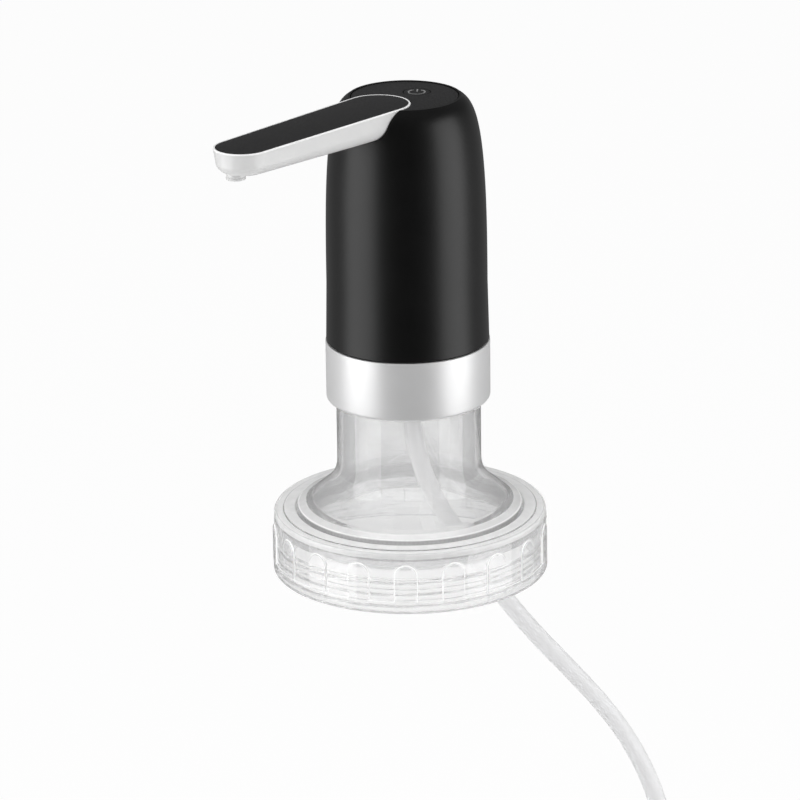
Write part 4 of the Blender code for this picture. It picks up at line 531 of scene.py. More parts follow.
def collar_marks(finish):
    """Painted highlights on the outlines of the arches, the top and its edges, and painted shade
    in the step on the top and under the wall's highlight band.
    """
    reach = finish.reach()
    up = finish.part("Z")
    turn = finish.maths("ARCTAN2", finish.part("Y"), finish.part("X")) - GRIP_PHASE
    aside = finish.maths("PINGPONG", turn, CIRCLE / GRIP_COUNT / 2) * COLLAR_RADIUS
    rise = finish.most(up - GRIP_SPRING, 0)
    from_middle = finish.maths("SQRT", aside * aside + rise * rise, 0)
    # painted highlight along the outline of each arch
    arch = finish.line(from_middle, (GRIP_WIDTH - GRIP_EDGE) / 2)
    arch = arch * finish.between(up, COLLAR_BAND_TOP - EDGE_LINE, COLLAR_BAND_TOP)
    outside = finish.between(reach, COLLAR_RADIUS - COLLAR_WALL / 2, COLLAR_RADIUS)
    # painted highlights on the band's top edge and in a band at the top of the wall
    band = finish.line(up, COLLAR_BAND_TOP)
    rim_bottom = COLLAR_TOP - COLLAR_HIGHLIGHT_DEPTH
    rim = finish.band(up, rim_bottom, COLLAR_TOP)
    wall_lines = finish.most(arch, finish.most(band * 0.7, rim * 0.5)) * outside
    # painted highlights on the top face and along the lip
    on_top = finish.between(up, COLLAR_TOP - 3 * COLLAR_SHOULDER, COLLAR_TOP - COLLAR_SHOULDER)
    face = finish.band(reach, COLLAR_LIP_RADIUS, COLLAR_RADIUS - COLLAR_SHOULDER, COLLAR_EDGE)
    lip = finish.line(reach, COLLAR_LIP_RADIUS + COLLAR_EDGE / 2)
    top = finish.most(face * 0.8, lip) * on_top
    # painted shadow in the step on the top
    step = COLLAR_LIP_RADIUS + COLLAR_STEP_WIDTH + COLLAR_STEP / 2
    groove = finish.line(reach, step) * on_top
    # painted shade line under the wall's highlight band
    under_rim = finish.line(up, rim_bottom - 2 * EDGE_LINE) * outside
    # painted highlights, cleared where the painted shadow lies
    light = finish.most(wall_lines, top) * (1 - groove)
    return light, finish.most(groove * 0.8, under_rim * 0.35)


def silicone(name, level, transmission):
    """Milky soft tube or seal with a fine dust-like haze."""
    return patchy(name, {"Transmission Weight": transmission, "IOR": 1.41},
                  coarse=(0.003, 3.0), colours=(grey(level), grey(level + 0.05, 0.01)),
                  roughness=(0.40, 0.12, 0), relief=(0.00001, 0.3), fine=(0.0006, 2.0))


def circuit_board():
    """Green lacquer with straight copper runs under it."""
    finish = Finish("circuit board", {"IOR": 1.5})
    runs = finish.node("TexBrick", None, {
        "Vector": finish.place, "Scale": 1 / COPPER_RUN, "Mortar Size": 0.06,
        "Mortar Smooth": 0.2}, "Fac")
    cloud = finish.noise(0.002, 3.0)
    lacquer = finish.mix_colours(cloud, (0.008, 0.10, 0.035, 1), (0.014, 0.15, 0.06, 1))
    return finish.vary({
        "Base Color": finish.mix_colours(runs, lacquer, (0.03, 0.26, 0.09, 1)),
        "Roughness": 0.30 + cloud * 0.15,
        "Normal": finish.bump(runs, 0.00004, 0.6),
    })


# -------- shapes

def fillet(before, corner, after, radius, chords):
    """Points of the arc that rounds one corner of an outline."""
    to_before = before - corner
    to_after = after - corner
    half_angle = to_before.angle(to_after) / 2
    longest = min(to_before.length, to_after.length) / 2
    reach = min(radius / math.tan(half_angle), longest)
    radius = reach * math.tan(half_angle)
    middle = (to_before.normalized() + to_after.normalized()).normalized()
    centre = corner + middle * (radius / math.sin(half_angle))
    start = corner + to_before.normalized() * reach - centre
    end = corner + to_after.normalized() * reach - centre
    turn = math.copysign(math.pi - 2 * half_angle, start.x * end.y - start.y * end.x)
    return [centre + Matrix.Rotation(turn * step / chords, 2) @ start
            for step in range(chords + 1)]


def rounded(corners, chords=FILLET_CHORDS):
    """An outline from corners of (across, up), or (across, up, fillet radius)."""
    points = []
    for index, corner in enumerate(corners):
        here = Vector(corner[:2])
        if len(corner) > 2:
            before = Vector(corners[index - 1][:2])
            after = Vector(corners[(index + 1) % len(corners)][:2])
            points.extend(fillet(before, here, after, corner[2], chords))
        else:
            points.append(here)
    return points


def finish_piece(name, form, place=(0, 0, 0), sharp=SHARP):
    """Write a bmesh to a new object with smooth faces and sharp corners."""
    bmesh.ops.remove_doubles(form, verts=form.verts, dist=WELD)
    bmesh.ops.recalc_face_normals(form, faces=form.faces)
    mesh = bpy.data.meshes.new(name)
    form.to_mesh(mesh)
    form.free()
    piece = bpy.data.objects.new(name, mesh)
    bpy.context.scene.collection.objects.link(piece)
    mesh.transform(Matrix.Translation(place))
    return smooth(piece, sharp)


def smooth(piece, sharp=SHARP):
    piece.data.shade_smooth()
    piece.data.set_sharp_from_angle(angle=sharp)
    return piece


def polar(reach, angle):
    return reach * math.cos(angle), reach * math.sin(angle)


def turned(name, outline, turns=TURNS, place=(0, 0, 0), closed=True, relief=None, phase=0.0):
    """Turn an outline about Z. A relief moves a point in or out by its row and angle."""
    form = bmesh.new()
    rings = []
    for row, (across, up) in enumerate(outline):
        if across == 0:
            rings.append([form.verts.new((0, 0, up))] * turns)
            continue
        ring = []
        for step in range(turns):
            angle = phase + CIRCLE * step / turns
            reach = across + (relief(row, angle) if relief else 0)
            ring.append(form.verts.new((*polar(reach, angle), up)))
        rings.append(ring)
    pairs = list(zip(rings, rings[1:]))
    if closed:
        pairs.append((rings[-1], rings[0]))
    for lower, upper in pairs:
        for step in range(turns):
            after = (step + 1) % turns
            corners = [lower[step], lower[after], upper[after], upper[step]]
            face = list(dict.fromkeys(corners))
            if len(face) > 2:
                form.faces.new(face)
    return finish_piece(name, form, place=place)


def bridge(form, rings):
    """Add a closed solid through rings of equally many points, capped at both ends."""
    loops = [[form.verts.new(point) for point in ring] for ring in rings]
    for lower, upper in zip(loops, loops[1:]):
        for index in range(len(lower)):
            after = (index + 1) % len(lower)
            form.faces.new((lower[index], lower[after], upper[after], upper[index]))
    form.faces.new(loops[0])
    form.faces.new(list(reversed(loops[-1])))


def loft(name, rings):
    form = bmesh.new()
    bridge(form, rings)
    return finish_piece(name, form)


def block(name, low, high, corner, axis):
    """A box whose edges along one axis are rounded."""
    form = bmesh.new()
    size = Vector(high) - Vector(low)
    place = Matrix.Translation((Vector(high) + Vector(low)) / 2) @ Matrix.Diagonal((*size, 1))
    bmesh.ops.create_cube(form, size=1, matrix=place)
    edges = [edge for edge in form.edges
             if abs((edge.verts[0].co - edge.verts[1].co)[axis]) > size[axis] / 2]
    bmesh.ops.bevel(form, geom=edges, offset=corner, segments=FILLET_CHORDS, profile=0.5,
                    affect="EDGES")
    return finish_piece(name, form)


def carve(piece, cutters):
    """Cut the cutters out of a piece, and remove them."""
    for cutter in cutters:
        boolean = piece.modifiers.new("Cut", "BOOLEAN")
        boolean.operation = "DIFFERENCE"
        boolean.object = cutter
    bpy.context.view_layer.update()
    seen = piece.evaluated_get(bpy.context.evaluated_depsgraph_get())
    mesh = bpy.data.meshes.new_from_object(seen)
    piece.modifiers.clear()
    old = piece.data
    piece.data = mesh
    mesh.name = piece.name
    bpy.data.meshes.remove(old)
    for cutter in cutters:
        data = cutter.data
        bpy.data.objects.remove(cutter)
        bpy.data.meshes.remove(data)
    return smooth(piece)


def dress(piece, material, body, slot, *nodes):
    """Give a piece its finish, let it ride on its body and stand for its CAD nodes."""
    piece.data.materials.clear()
    piece.data.materials.append(material)
    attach(piece, body)
    if nodes:
        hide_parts(*nodes)


def smooth_route(route, spacing):
    """Points at an even spacing on the smooth curve through the given ones."""
    fine = []
    ends = [2 * route[0] - route[1]] + route + [2 * route[-1] - route[-2]]
    for a, b, c, d in zip(ends, ends[1:], ends[2:], ends[3:]):
        for step in range(HOSE_CURVE_STEPS):
            t = step / HOSE_CURVE_STEPS
            fine.append(0.5 * (2 * b + (c - a) * t + (2 * a - 5 * b + 4 * c - d) * t ** 2
                               + (3 * b - a - 3 * c + d) * t ** 3))
    fine.append(route[-1])
    lengths = [0]
    for start, end in zip(fine, fine[1:]):
        lengths.append(lengths[-1] + (end - start).length)
    count = round(lengths[-1] / spacing)
    sampled = []
    place = 0
    for index in range(count + 1):
        wanted = lengths[-1] * index / count
        while place < len(fine) - 2 and lengths[place + 1] < wanted:
            place += 1
        share = (wanted - lengths[place]) / (lengths[place + 1] - lengths[place])
        sampled.append(fine[place].lerp(fine[place + 1], min(1, share)))
    return sampled


# -------- camera, hose

def place_camera():
    """The photograph's camera: level heading, pitch, then roll."""
    data = bpy.data.cameras.new("photo camera")
    data.lens = VIEW_LENS
    data.sensor_width = VIEW_SENSOR
    camera = bpy.data.objects.new("photo camera", data)
    bpy.context.scene.collection.objects.link(camera)
    heading = VIEW_AZIMUTH + VIEW_TURN
    ahead = Vector((-math.sin(heading), math.cos(heading), 0))
    right = Vector((math.cos(heading), math.sin(heading), 0))
    view = ahead * math.cos(VIEW_PITCH) - Vector((0, 0, math.sin(VIEW_PITCH)))
    up = right.cross(view)
    tilted_up = up * math.cos(VIEW_ROLL) + right * math.sin(VIEW_ROLL)
    tilted_right = right * math.cos(VIEW_ROLL) - up * math.sin(VIEW_ROLL)
    turn = Matrix((tilted_right, tilted_up, -view)).transposed().to_4x4()
    place = Vector((math.sin(VIEW_AZIMUTH) * VIEW_DISTANCE,
                    -math.cos(VIEW_AZIMUTH) * VIEW_DISTANCE, VIEW_HEIGHT))
    camera.matrix_world = Matrix.Translation(place) @ turn
    bpy.context.scene.camera = camera


def make_suction_hose(material):
    """Soft clear hose from the pump's barb down to its bare end."""
    across = Vector((math.cos(HOSE_BEARING), math.sin(HOSE_BEARING), 0))
    points = [across * distance + Vector((0, 0, height)) for distance, height in HOSE_ROUTE]
    route = smooth_route(points, HOSE_SPACING)
    curve = bpy.data.curves.new("hose", "CURVE")
    curve.dimensions = "3D"
    curve.bevel_depth = HOSE_RADIUS
    curve.bevel_resolution = HOSE_FACETS
    spline = curve.splines.new("POLY")
    spline.points.add(len(route) - 1)
    for target, point in zip(spline.points, route):
        target.co = (*point, 1)
    spline.use_smooth = True
    hose = bpy.data.objects.new("hose", curve)
    bpy.context.scene.collection.objects.link(hose)
    wall = hose.modifiers.new("Wall", "SOLIDIFY")
    wall.thickness = HOSE_WALL
    wall.offset = -1
    wall.use_even_offset = True
    dress(hose, material, "head", "silicone", "suction_hose")


# -------- pieces

def make_neck(material):
    """Clear neck that flares to the rim, with a fillet at every corner."""
    slope = math.tan(CONE_SLOPE)
    bore = NECK_RADIUS - NECK_WALL
    foot_bore = CONE_FOOT_RADIUS - NECK_WALL / math.sin(CONE_SLOPE)
    outline = rounded([
        (bore, NECK_HEIGHT, RIM_EDGE),
        (NECK_RADIUS, NECK_HEIGHT, RIM_EDGE),
        (NECK_RADIUS, RIM_TOP + slope * (CONE_FOOT_RADIUS - NECK_RADIUS), CONE_FILLET),
        (CONE_FOOT_RADIUS, RIM_TOP, CONE_FOOT_FILLET),
        (RIM_RADIUS, RIM_TOP - RIM_DROP, RIM_EDGE),
        (RIM_RADIUS, FLANGE_TOP, RIM_EDGE),
        (FLANGE_RADIUS, FLANGE_TOP, RIM_EDGE / 2),
        (FLANGE_RADIUS, FLANGE_BOTTOM, RIM_EDGE / 2),
        (foot_bore, FLANGE_BOTTOM, RIM_EDGE / 2),
        (foot_bore, RIM_TOP, CONE_FOOT_FILLET),
        (bore, RIM_TOP + slope * (foot_bore - bore), CONE_FILLET),
    ])
    dress(turned("neck", outline), material, "adapter", "clear_plastic", "neck_insert")


def make_gasket(material):
    outline = rounded([
        (GASKET_OUTER_RADIUS, GASKET_THICKNESS, GASKET_EDGE),
        (GASKET_OUTER_RADIUS, 0, GASKET_EDGE),
        (GASKET_INNER_RADIUS, 0, GASKET_EDGE),
        (GASKET_INNER_RADIUS, GASKET_THICKNESS, GASKET_EDGE),
    ], FINE_FILLET_CHORDS)
    dress(turned("gasket", outline), material, "adapter", "silicone", "lip_gasket")


def smooth_step(value):
    value = min(1, max(0, value))
    return value * value * (3 - 2 * value)


def grip_relief(angle, up):
    """How far the collar's wall stands out at an angle and a height, for its grips."""
    pitch = CIRCLE / GRIP_COUNT
    offset = (angle - GRIP_PHASE + pitch / 2) % pitch - pitch / 2
    aside = abs(offset) * COLLAR_RADIUS
    reach = aside if up < GRIP_SPRING else math.hypot(aside, up - GRIP_SPRING)
    return GRIP_STAND * smooth_step((GRIP_WIDTH / 2 - reach) / GRIP_EDGE)


def thread_relief(angle, up):
    """How far the thread stands in from the collar's bore."""
    turn = (up / THREAD_PITCH - angle / CIRCLE) % 1
    ridge = smooth_step((0.5 - abs(turn - 0.5) - THREAD_GAP_SHARE) / THREAD_FLANK_SHARE)
    fade = smooth_step((THREAD_TOP - up) / THREAD_FADE)
    fade *= smooth_step((up - THREAD_BOTTOM) / THREAD_FADE)
    return -THREAD_DEPTH * ridge * fade


def wall_rows(across, start, end):
    """Rows of a straight wall, close enough for its relief."""
    count = math.ceil(abs(end - start) / WALL_ROW)
    return [(across, start + (end - start) * row / count) for row in range(count + 1)]


def make_collar(material):
    """Clear screw collar with eighteen raised arches outside and a thread inside."""
    step_radius = COLLAR_LIP_RADIUS + COLLAR_STEP_WIDTH
    step_height = COLLAR_TOP - COLLAR_STEP_FALL
    shoulder = step_height - COLLAR_STEP
    band_radius = COLLAR_RADIUS + COLLAR_BAND_STAND
    band_corner = COLLAR_BAND_TOP + COLLAR_BAND_STAND
    top = rounded([
        (COLLAR_LIP_RADIUS, COLLAR_LIP_BOTTOM, COLLAR_EDGE / 2),
        (COLLAR_LIP_RADIUS, COLLAR_TOP, COLLAR_EDGE),
        (step_radius, step_height, COLLAR_STEP / 2),
        (step_radius + COLLAR_STEP, shoulder, COLLAR_STEP / 2),
        (COLLAR_RADIUS, shoulder, COLLAR_SHOULDER),
        (COLLAR_RADIUS, COLLAR_BAND_TOP),
    ])[:-1]
    wall = wall_rows(COLLAR_RADIUS, top[-1].y - WALL_ROW, band_corner)
    band = rounded([
        (COLLAR_RADIUS, band_corner),
        (band_radius, COLLAR_BAND_TOP, COLLAR_EDGE / 2),
        (band_radius, COLLAR_BOTTOM, COLLAR_EDGE),
        (COLLAR_BORE, COLLAR_BOTTOM, COLLAR_EDGE),
        (COLLAR_BORE, COLLAR_BAND_TOP),
    ])[1:-1]
    bore = wall_rows(COLLAR_BORE, COLLAR_BOTTOM + 2 * COLLAR_EDGE, COLLAR_LIP_BOTTOM)
    outline = [tuple(point) for point in top + wall + band + bore]
    first_wall = len(top) - 1
    last_wall = len(top) + len(wall)
    first_bore = last_wall + len(band)

    def relief(row, angle):
        up = outline[row][1]
        if row >= first_bore:
            return thread_relief(angle, up)
        if row >= last_wall:
            if up <= COLLAR_BAND_TOP - GRIP_STAND:
                return 0
            return max(0, grip_relief(angle, up) - (outline[row][0] - COLLAR_RADIUS))
        return grip_relief(angle, up) if row >= first_wall else 0

    collar = turned("collar", outline, GRIP_COUNT * GRIP_COLUMNS, relief=relief,
                    phase=GRIP_PHASE)
    dress(collar, material, "collar", "clear_plastic", "screw_collar")


def make_ring(material):
    """Satin ring with a fine polished edge at the top and a rounded lower corner."""
    outline = rounded([
        (RING_BORE, RING_TOP, RING_TOP_EDGE),
        (RING_RADIUS, RING_TOP, RING_TOP_EDGE),
        (RING_RADIUS, RING_BOTTOM, RING_BOTTOM_EDGE),
        (RING_LIP_RADIUS, RING_BOTTOM, RING_TOP_EDGE),
        (RING_LIP_RADIUS, RING_BOTTOM + RING_LIP_THICKNESS),
        (RING_BORE, RING_BOTTOM + RING_LIP_THICKNESS),
    ])
    dress(turned("silver_ring", outline), material, "head", "satin_chrome", "base_ring")


def housing_radius(height):
    """The housing's outer radius at a height."""
    start = HOUSING_TOP - SHOULDER_HEIGHT
    if height <= start:
        share = (height - HOUSING_BOTTOM) / (start - HOUSING_BOTTOM)
        return HOUSING_FOOT_RADIUS + (HOUSING_RADIUS - HOUSING_FOOT_RADIUS) * share
    share = (height - start) / (SHOULDER_HEIGHT * (1 + SHOULDER_APEX_SHARE))
    return HOUSING_RADIUS * (1 - share ** SHOULDER_POWER_UP) ** (1 / SHOULDER_POWER_ACROSS)


def housing_side(top, inset):
    """The housing's side from a height down to its foot."""
    start = HOUSING_TOP - SHOULDER_HEIGHT
    points = []
    for step in range(SHOULDER_STEPS + 1):
        rise = math.sin(QUARTER * (1 - step / SHOULDER_STEPS))
        height = start + (top - start) * rise
        points.append((housing_radius(height) - inset, height))
    return points


def arm_depth(forward, root_depth=ARM_ROOT_DEPTH):
    share = (forward - ARM_ROOT_FORWARD) / (ARM_TIP_FORWARD - ARM_ROOT_FORWARD)
    return root_depth + (ARM_TIP_DEPTH - root_depth) * share


def arm_outline(grow, tip_grow=None):
    """The arm seen from above: two arcs joined by their tangents, grown outwards."""
    lean = math.asin((ARM_ROOT_RADIUS - ARM_TIP_RADIUS) / (ARM_TIP_FORWARD - ARM_ROOT_FORWARD))
    tip_reach = ARM_TIP_RADIUS + (grow if tip_grow is None else tip_grow)
    points = []
    for start, sweep, reach, forward in (
            (-lean, math.pi + 2 * lean, ARM_ROOT_RADIUS + grow, ARM_ROOT_FORWARD),
            (math.pi + lean, math.pi - 2 * lean, tip_reach, ARM_TIP_FORWARD)):
        for step in range(ARM_ARC_STEPS + 1):
            x, y = polar(reach, start + sweep * step / ARM_ARC_STEPS)
            points.append((x, y - forward))
    return points


def arm_lower_ring(grow, turn, root_depth, root_edge):
    """A ring on the rounded lower edge, from the side (turn 0) to the bottom (turn 90)."""
    inset = 1 - math.cos(turn)
    up = 1 - math.sin(turn)
    outline = arm_outline(grow - ARM_DRAFT - root_edge * inset,
                          grow - ARM_DRAFT - ARM_BOTTOM_EDGE * inset)
    half = len(outline) // 2
    lifts = [root_edge * up - grow] * half + [ARM_BOTTOM_EDGE * up - grow] * half
    return [(x, y, ARM_TOP - arm_depth(-y, root_depth) + lift)
            for (x, y), lift in zip(outline, lifts)]


def arm_form(name, grow, top, rim_edge=0.0, inside=False):
    """The arm's form with a rounded lower edge, as seen or as hollowed inside."""
    rings = [[(x, y, top) for x, y in arm_outline(grow - rim_edge)]]
    if rim_edge:
        rings.append([(x, y, top - rim_edge) for x, y in arm_outline(grow)])
    root = ((ARM_ROOT_DEPTH, ARM_BOTTOM_EDGE) if inside
            else (ARM_ROOT_SEEN_DEPTH, ARM_ROOT_SEEN_EDGE))
    for step in range(ARM_EDGE_CHORDS + 1):
        turn = QUARTER * step / ARM_EDGE_CHORDS
        rings.append(arm_lower_ring(grow, turn, *root))
    return loft(name, rings)


def prism(name, outline, low, high):
    return loft(name, [[(x, y, low) for x, y in outline], [(x, y, high) for x, y in outline]])


def pillar(name, radius, low, high, place, turns=SMALL_TURNS):
    """A plain upright cylinder, for a cutter."""
    return turned(name, [(0, high), (radius, high), (radius, low), (0, low)], turns,
                  (*place, 0), closed=False)


def make_housing(material):
    """Domed shell with the disc's recess, the arm's pocket, and holes for port and light."""
    edge = HOUSING_RIM_EDGE
    side = housing_side(HOUSING_TOP - edge, 0)
    outer = [(0, HOUSING_TOP), (side[0][0] - edge, HOUSING_TOP)] + side
    outer += [(HOUSING_FOOT_RADIUS, HOUSING_BOTTOM + HOUSING_FOOT_EDGE),
              (HOUSING_FOOT_RADIUS - HOUSING_FOOT_EDGE, HOUSING_BOTTOM), (0, HOUSING_BOTTOM)]
    shell = turned("housing", outer, closed=False)
    roof = DISC_BOTTOM - GAP - HOUSING_WALL
    inner = [(0, roof)] + housing_side(roof, HOUSING_WALL)
    inner += [(HOUSING_FOOT_RADIUS - HOUSING_WALL, HOUSING_BOTTOM - OVERRUN),
              (0, HOUSING_BOTTOM - OVERRUN)]
    hollow = carve(turned("hollow", inner, closed=False),
                   [arm_form("pocket_block", GAP + HOUSING_WALL, roof + OVERRUN, inside=True)])
    recess = pillar("recess", DISC_RADIUS + GAP, DISC_BOTTOM - GAP, HOUSING_TOP + OVERRUN,
                    (0, 0), TURNS)
    port_low, port_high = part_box("charge_port")
    slot_cut = block("port_slot", (port_low.x - GAP, port_low.y, port_low.z - GAP),
                     (port_high.x + GAP, port_high.y + 2 * OVERRUN, port_high.z + GAP),
                     (port_high.z - port_low.z) / 2, axis=1)
    lamp_low, lamp_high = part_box("status_light")
    lamp_hole = pillar("lamp_hole", lamp_high.x + GAP, -3 * OVERRUN, OVERRUN, (0, 0))
    lamp_hole.data.transform(Matrix.Translation((0, lamp_high.y, (lamp_low.z + lamp_high.z) / 2))
                             @ Matrix.Rotation(-QUARTER, 4, "X"))
    button_hole = pillar("button_hole", BUTTON_RADIUS + GAP, roof - OVERRUN, HOUSING_TOP,
                         (0, BUTTON_BEHIND))
    carve(shell, [hollow, recess, arm_form("arm_pocket", GAP, ARM_TOP + OVERRUN), button_hole,
                  slot_cut, lamp_hole])
    dress(shell, material, "head", "black_plastic", "housing_shell")


def make_disc(material):
    """Grained disc, cut out round the arm and the button."""
    disc = turned("disc", rounded([
        (0, DISC_TOP), (DISC_RADIUS, DISC_TOP, DISC_EDGE), (DISC_RADIUS, DISC_BOTTOM),
        (0, DISC_BOTTOM)], FINE_FILLET_CHORDS), closed=False)
    carve(disc, [arm_form("disc_pocket", GAP, ARM_TOP + OVERRUN),
                 pillar("disc_hole", BUTTON_RADIUS + GAP, DISC_BOTTOM - OVERRUN,
                        DISC_TOP + OVERRUN, (0, BUTTON_BEHIND))])
    dress(disc, material, "head", "grained_black", "top_disc")


def make_button(material, sign_material):
    """Slightly dished button with the common power sign."""
    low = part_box("power_button")[0].z
    flange_top = DISC_BOTTOM - GAP - HOUSING_ROOF - GAP
    flange_bottom = flange_top - BUTTON_FLANGE_THICKNESS
    dish = [(BUTTON_RADIUS * share, BUTTON_TOP - BUTTON_DISH * depth)
            for share, depth in DISH_PROFILE[:-1]]
    outline = rounded(dish + [
        (BUTTON_RADIUS, BUTTON_TOP, BUTTON_EDGE), (BUTTON_RADIUS, flange_top),
        (BUTTON_FLANGE_RADIUS, flange_top), (BUTTON_FLANGE_RADIUS, flange_bottom),
        (BUTTON_STEM_RADIUS, flange_bottom), (BUTTON_STEM_RADIUS, low), (0, low)])
    button = turned("button", outline, SMALL_TURNS, (0, BUTTON_BEHIND, 0), closed=False)
    dress(button, material, "button", "black_plastic", "power_button")
    dress(make_power_sign(), sign_material, "button", "black_plastic")


def dish_height(reach):
    """Height of the button's dished top at a distance from its middle."""
    share = reach / BUTTON_RADIUS
    for (near, deep), (far, shallow) in zip(DISH_PROFILE, DISH_PROFILE[1:]):
        if share <= far:
            depth = deep + (shallow - deep) * (share - near) / (far - near)
            return BUTTON_TOP - BUTTON_DISH * depth
    return BUTTON_TOP


def on_button(x, y, rise):
    """A point of the sign, turned with it and laid on the button's dished top."""
    level = Matrix.Rotation(SIGN_TURN, 2) @ Vector((x, y))
    return level.x, level.y + BUTTON_BEHIND, dish_height(level.length) + rise


def make_power_sign():
    """A broken ring and a bar, as thin raised lines on the button."""
    half = SIGN_LINE / 2
    start = QUARTER + SIGN_GAP_ANGLE
    sweep = CIRCLE - 2 * SIGN_GAP_ANGLE
    angles = [start + sweep * step / SIGN_RING_STEPS for step in range(SIGN_RING_STEPS + 1)]
    ring = [(polar(SIGN_RADIUS - half, angle), polar(SIGN_RADIUS + half, angle))
            for angle in angles]
    length = SIGN_BAR_REACH - SIGN_BAR_START
    reaches = [SIGN_BAR_START + length * step / SIGN_BAR_STEPS
               for step in range(SIGN_BAR_STEPS + 1)]
    bar = [((-half, reach), (half, reach)) for reach in reaches]
    form = bmesh.new()
    for line in (ring, bar):
        bridge(form, [[on_button(*near, -SIGN_STAND), on_button(*near, SIGN_STAND),
                       on_button(*far, SIGN_STAND), on_button(*far, -SIGN_STAND)]
                      for near, far in line])
    return finish_piece("power_sign", form, sharp=SIGN_SHARP)


def make_arm(white, grained):
    """White tray with its thin rim, and the grained cover that lies in it."""
    shell = arm_form("arm", 0, ARM_TOP, ARM_RIM_EDGE)
    cover_bottom = ARM_TOP - ARM_COVER_THICKNESS
    cavity = arm_form("arm_cavity", -ARM_WALL, ARM_TOP + OVERRUN, inside=True)
    rebate = prism("arm_rebate", arm_outline(-ARM_RIM), cover_bottom - GAP, ARM_TOP + OVERRUN)
    floor = ARM_TOP - arm_depth(NOZZLE_FORWARD)
    nozzle_hole = pillar("nozzle_hole", NOZZLE_RADIUS + GAP / 2, floor - OVERRUN,
                         floor + 2 * OVERRUN, (0, -NOZZLE_FORWARD))
    elbow_floor = ARM_TOP - arm_depth(ARM_ROOT_FORWARD)
    elbow_hole = pillar("elbow_hole", ELBOW_HOLE_RADIUS, elbow_floor - OVERRUN,
                        elbow_floor + 2 * OVERRUN, (0, -ELBOW_FORWARD))
    carve(shell, [cavity, rebate, nozzle_hole, elbow_hole])
    dress(shell, white, "head", "white_plastic", "arm_shell")

    rings = [[(x, y, cover_bottom) for x, y in arm_outline(-ARM_RIM - GAP / 2)]]
    for step in range(FINE_FILLET_CHORDS + 1):
        angle = QUARTER * step / FINE_FILLET_CHORDS
        inset = ARM_COVER_EDGE * (1 - math.cos(angle))
        up = ARM_TOP - ARM_COVER_EDGE * (1 - math.sin(angle))
        rings.append([(x, y, up) for x, y in arm_outline(-ARM_RIM - GAP / 2 - inset)])
    dress(loft("cover", rings), grained, "head", "grained_black", "arm_cover")


def make_nozzle(material):
    """Outlet ring with a fine groove, and its hidden barrel."""
    floor = ARM_TOP - arm_depth(NOZZLE_FORWARD)
    middle = (NOZZLE_BOTTOM + floor) / 2
    groove = NOZZLE_GROOVE
    outline = rounded([
        (0, NOZZLE_TOP), (NOZZLE_RADIUS, NOZZLE_TOP, NOZZLE_EDGE),
        (NOZZLE_RADIUS, middle + groove), (NOZZLE_RADIUS - groove, middle),
        (NOZZLE_RADIUS, middle - groove), (NOZZLE_RADIUS, NOZZLE_BOTTOM, NOZZLE_EDGE),
        (NOZZLE_BORE, NOZZLE_BOTTOM, NOZZLE_EDGE / 2),
        (NOZZLE_BORE, NOZZLE_TOP - NOZZLE_BORE), (0, NOZZLE_TOP - NOZZLE_BORE)])
    ring = turned("outlet_ring", outline, SMALL_TURNS, (0, -NOZZLE_FORWARD, 0), closed=False)
    dress(ring, material, "head", "white_plastic", "nozzle")


def paint_inner_pieces(finishes):
    """Give every CAD node that still shows its own finish."""
    for names, material in finishes:
        for name in names:
            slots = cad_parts[name].data.materials
            slots.clear()
            slots.append(material)


# -------- studio

def studio_level(tree, direction):
    """Brightness of the white studio, as gloss sees it, in a direction from the object."""
    toward_camera = (math.sin(VIEW_AZIMUTH), -math.cos(VIEW_AZIMUTH), 0)
    facing = tree.vector_maths("DOT_PRODUCT", direction, toward_camera, "Value")
    height = tree.node("SeparateXYZ", None, {0: direction}, "Z")
    sides = tree.between(facing, *FRONT_TO_SIDE)
    above = tree.between(height, *LEVEL_TO_HIGH)
    return MIRRORED_FRONT + sides * (MIRRORED_SIDES - above * MIRRORED_LESS)


def seen_directly(tree):
    """1 for a ray from the camera, or one that has come through clear plastic."""
    seen = tree.node("LightPath", output="Is Camera Ray")
    through = tree.node("LightPath", output="Transmission Depth")
    return tree.maths("MINIMUM", seen + through, 1.0)


def light_studio():
    """White surroundings, dimmer where gloss mirrors the camera's side."""
    world = bpy.data.worlds.new("studio")
    bpy.context.scene.world = world
    world.use_nodes = True
    tree = NodeTree(world.node_tree)
    direction = tree.node("TexCoord", output="Generated")
    glossy = tree.node("LightPath", output="Is Glossy Ray")
    seen = seen_directly(tree)
    unseen = glossy * studio_level(tree, direction) + (1 - glossy) * FILL_LEVEL
    background = world.node_tree.nodes["Background"].inputs
    background["Color"].default_value = grey(1.0)
    tree.feed(background["Strength"], seen + (1 - seen) * unseen)


def add_softbox(name, azimuth, height, width, tall, distance, level, aim_height):
    """A soft area lamp that looks at the object's axis."""
    data = bpy.data.lights.new(name, "AREA")
    data.shape = "RECTANGLE"
    data.size = width
    data.size_y = tall
    data.energy = level * math.pi * width * tall
    lamp = bpy.data.objects.new(name, data)
    bpy.context.scene.collection.objects.link(lamp)
    place = Vector((math.sin(azimuth) * distance, -math.cos(azimuth) * distance, height))
    aim = Vector((0, 0, aim_height)) - place
    turn = aim.to_track_quat("-Z", "Y").to_matrix().to_4x4()
    lamp.matrix_world = Matrix.Translation(place) @ turn
    lamp.visible_camera = False
    lamp.visible_transmission = False
    return lamp


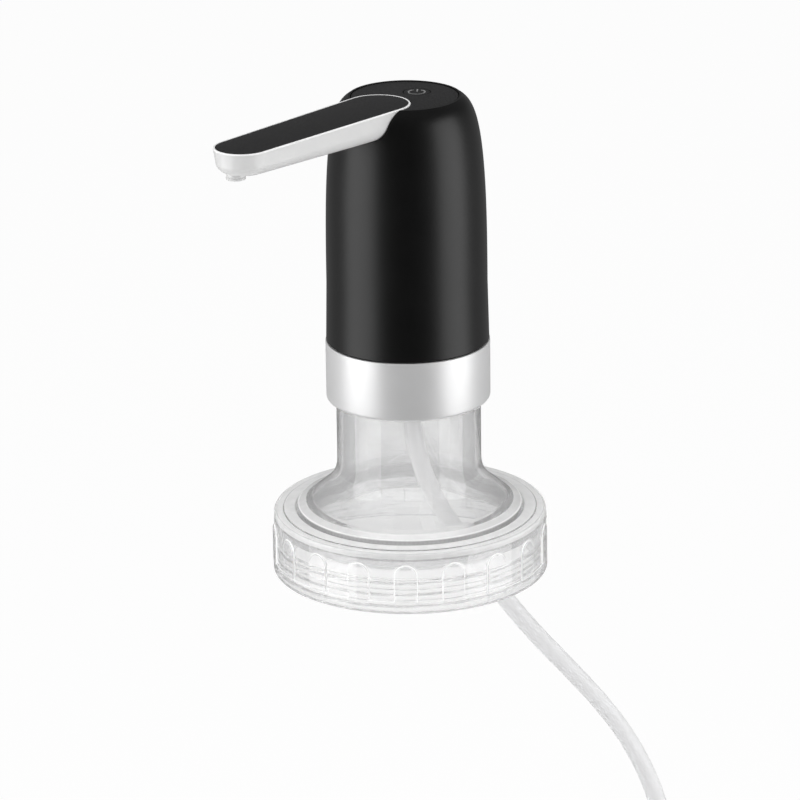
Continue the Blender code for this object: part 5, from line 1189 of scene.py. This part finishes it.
def lay_floor():
    """Pale floor far below the object, white to the eye and still shadowed."""
    form = bmesh.new()
    bmesh.ops.create_circle(form, cap_ends=True, segments=FLOOR_SIDES, radius=FLOOR_REACH)
    floor = finish_piece("floor", form, place=(0, 0, FLOOR_HEIGHT))
    finish = Finish("floor", {"Base Color": grey(FLOOR_GREY), "Roughness": FLOOR_ROUGHNESS,
                              "Specular IOR Level": FLOOR_SPECULAR})
    direction = finish.vector_maths("NORMALIZE", finish.place, (0, 0, 0))
    glossy = finish.node("LightPath", output="Is Glossy Ray")
    seen = seen_directly(finish)
    level = seen + (1 - seen) * glossy * studio_level(finish, direction)
    glow = finish.node("Emission", None, {"Color": grey(1.0), "Strength": level})
    mask = finish.most(seen * FLOOR_WHITE, glossy)
    floor.data.materials.append(finish.show(finish.overlay(mask, glow)))


def main():
    place_camera()
    make_suction_hose(silicone("hose silicone", 0.94, 0.30))

    finishes = plain_finishes()
    grained = grained_black_plastic()
    white = gloss_white_plastic()
    seal_silicone = silicone("seal silicone", 0.75, 0.2)
    make_neck(clear_plastic("clear neck", 0.84, 0.24, 0.03, 0.0004, neck_marks))
    make_gasket(seal_silicone)
    make_collar(clear_plastic("clear collar", 0.86, 0.60, 0.02, 0.0003, collar_marks))
    make_ring(finishes["satin chrome"])
    make_housing(finishes["satin black plastic"])
    make_disc(grained)
    make_button(grained, finishes["sign print"])
    make_arm(white, grained)
    make_nozzle(white)
    paint_inner_pieces([
        (("neck_seal", "inlet_tube", "outlet_tube", "spout_tube"), seal_silicone),
        (("base_plate", "inner_frame", "crank_case", "pump_head", "valve_plate", "wobble_plate",
          "eccentric", "motor_end_cap", "switch_plunger", "switch_body"),
         finishes["grey moulding"]),
        (("arm_elbow",), white),
        (("motor_can", "motor_shaft", "charge_port", "arm_screw_1", "arm_screw_2",
          "frame_screw_1", "frame_screw_2", "frame_screw_3", "pump_screw_1", "pump_screw_2",
          "pump_screw_3", "pump_screw_4"), finishes["plated steel"]),
        (("diaphragm",), finishes["black rubber"]),
        (("control_board", "charge_board"), circuit_board()),
        (("battery_cell",), finishes["battery wrap"]),
        (("status_light",), finishes["light lens"]),
    ])

    light_studio()
    for name, angle, width in (("left softbox", LEFT_SOFTBOX_ANGLE, LEFT_SOFTBOX_WIDTH),
                               ("right softbox", RIGHT_SOFTBOX_ANGLE, RIGHT_SOFTBOX_WIDTH)):
        add_softbox(name, VIEW_AZIMUTH + angle, SOFTBOX_MIDDLE, width, SOFTBOX_HEIGHT,
                    SOFTBOX_DISTANCE, SOFTBOX_LEVEL, SOFTBOX_MIDDLE)
    top_light = add_softbox("top light", VIEW_AZIMUTH + TOP_LIGHT_ANGLE, TOP_LIGHT_HEIGHT,
                            TOP_LIGHT_SIZE, TOP_LIGHT_SIZE, TOP_LIGHT_DISTANCE, TOP_LIGHT_LEVEL, 0)
    top_light.visible_glossy = False
    lay_floor()
    bpy.context.scene.view_settings.view_transform = "Standard"


main()
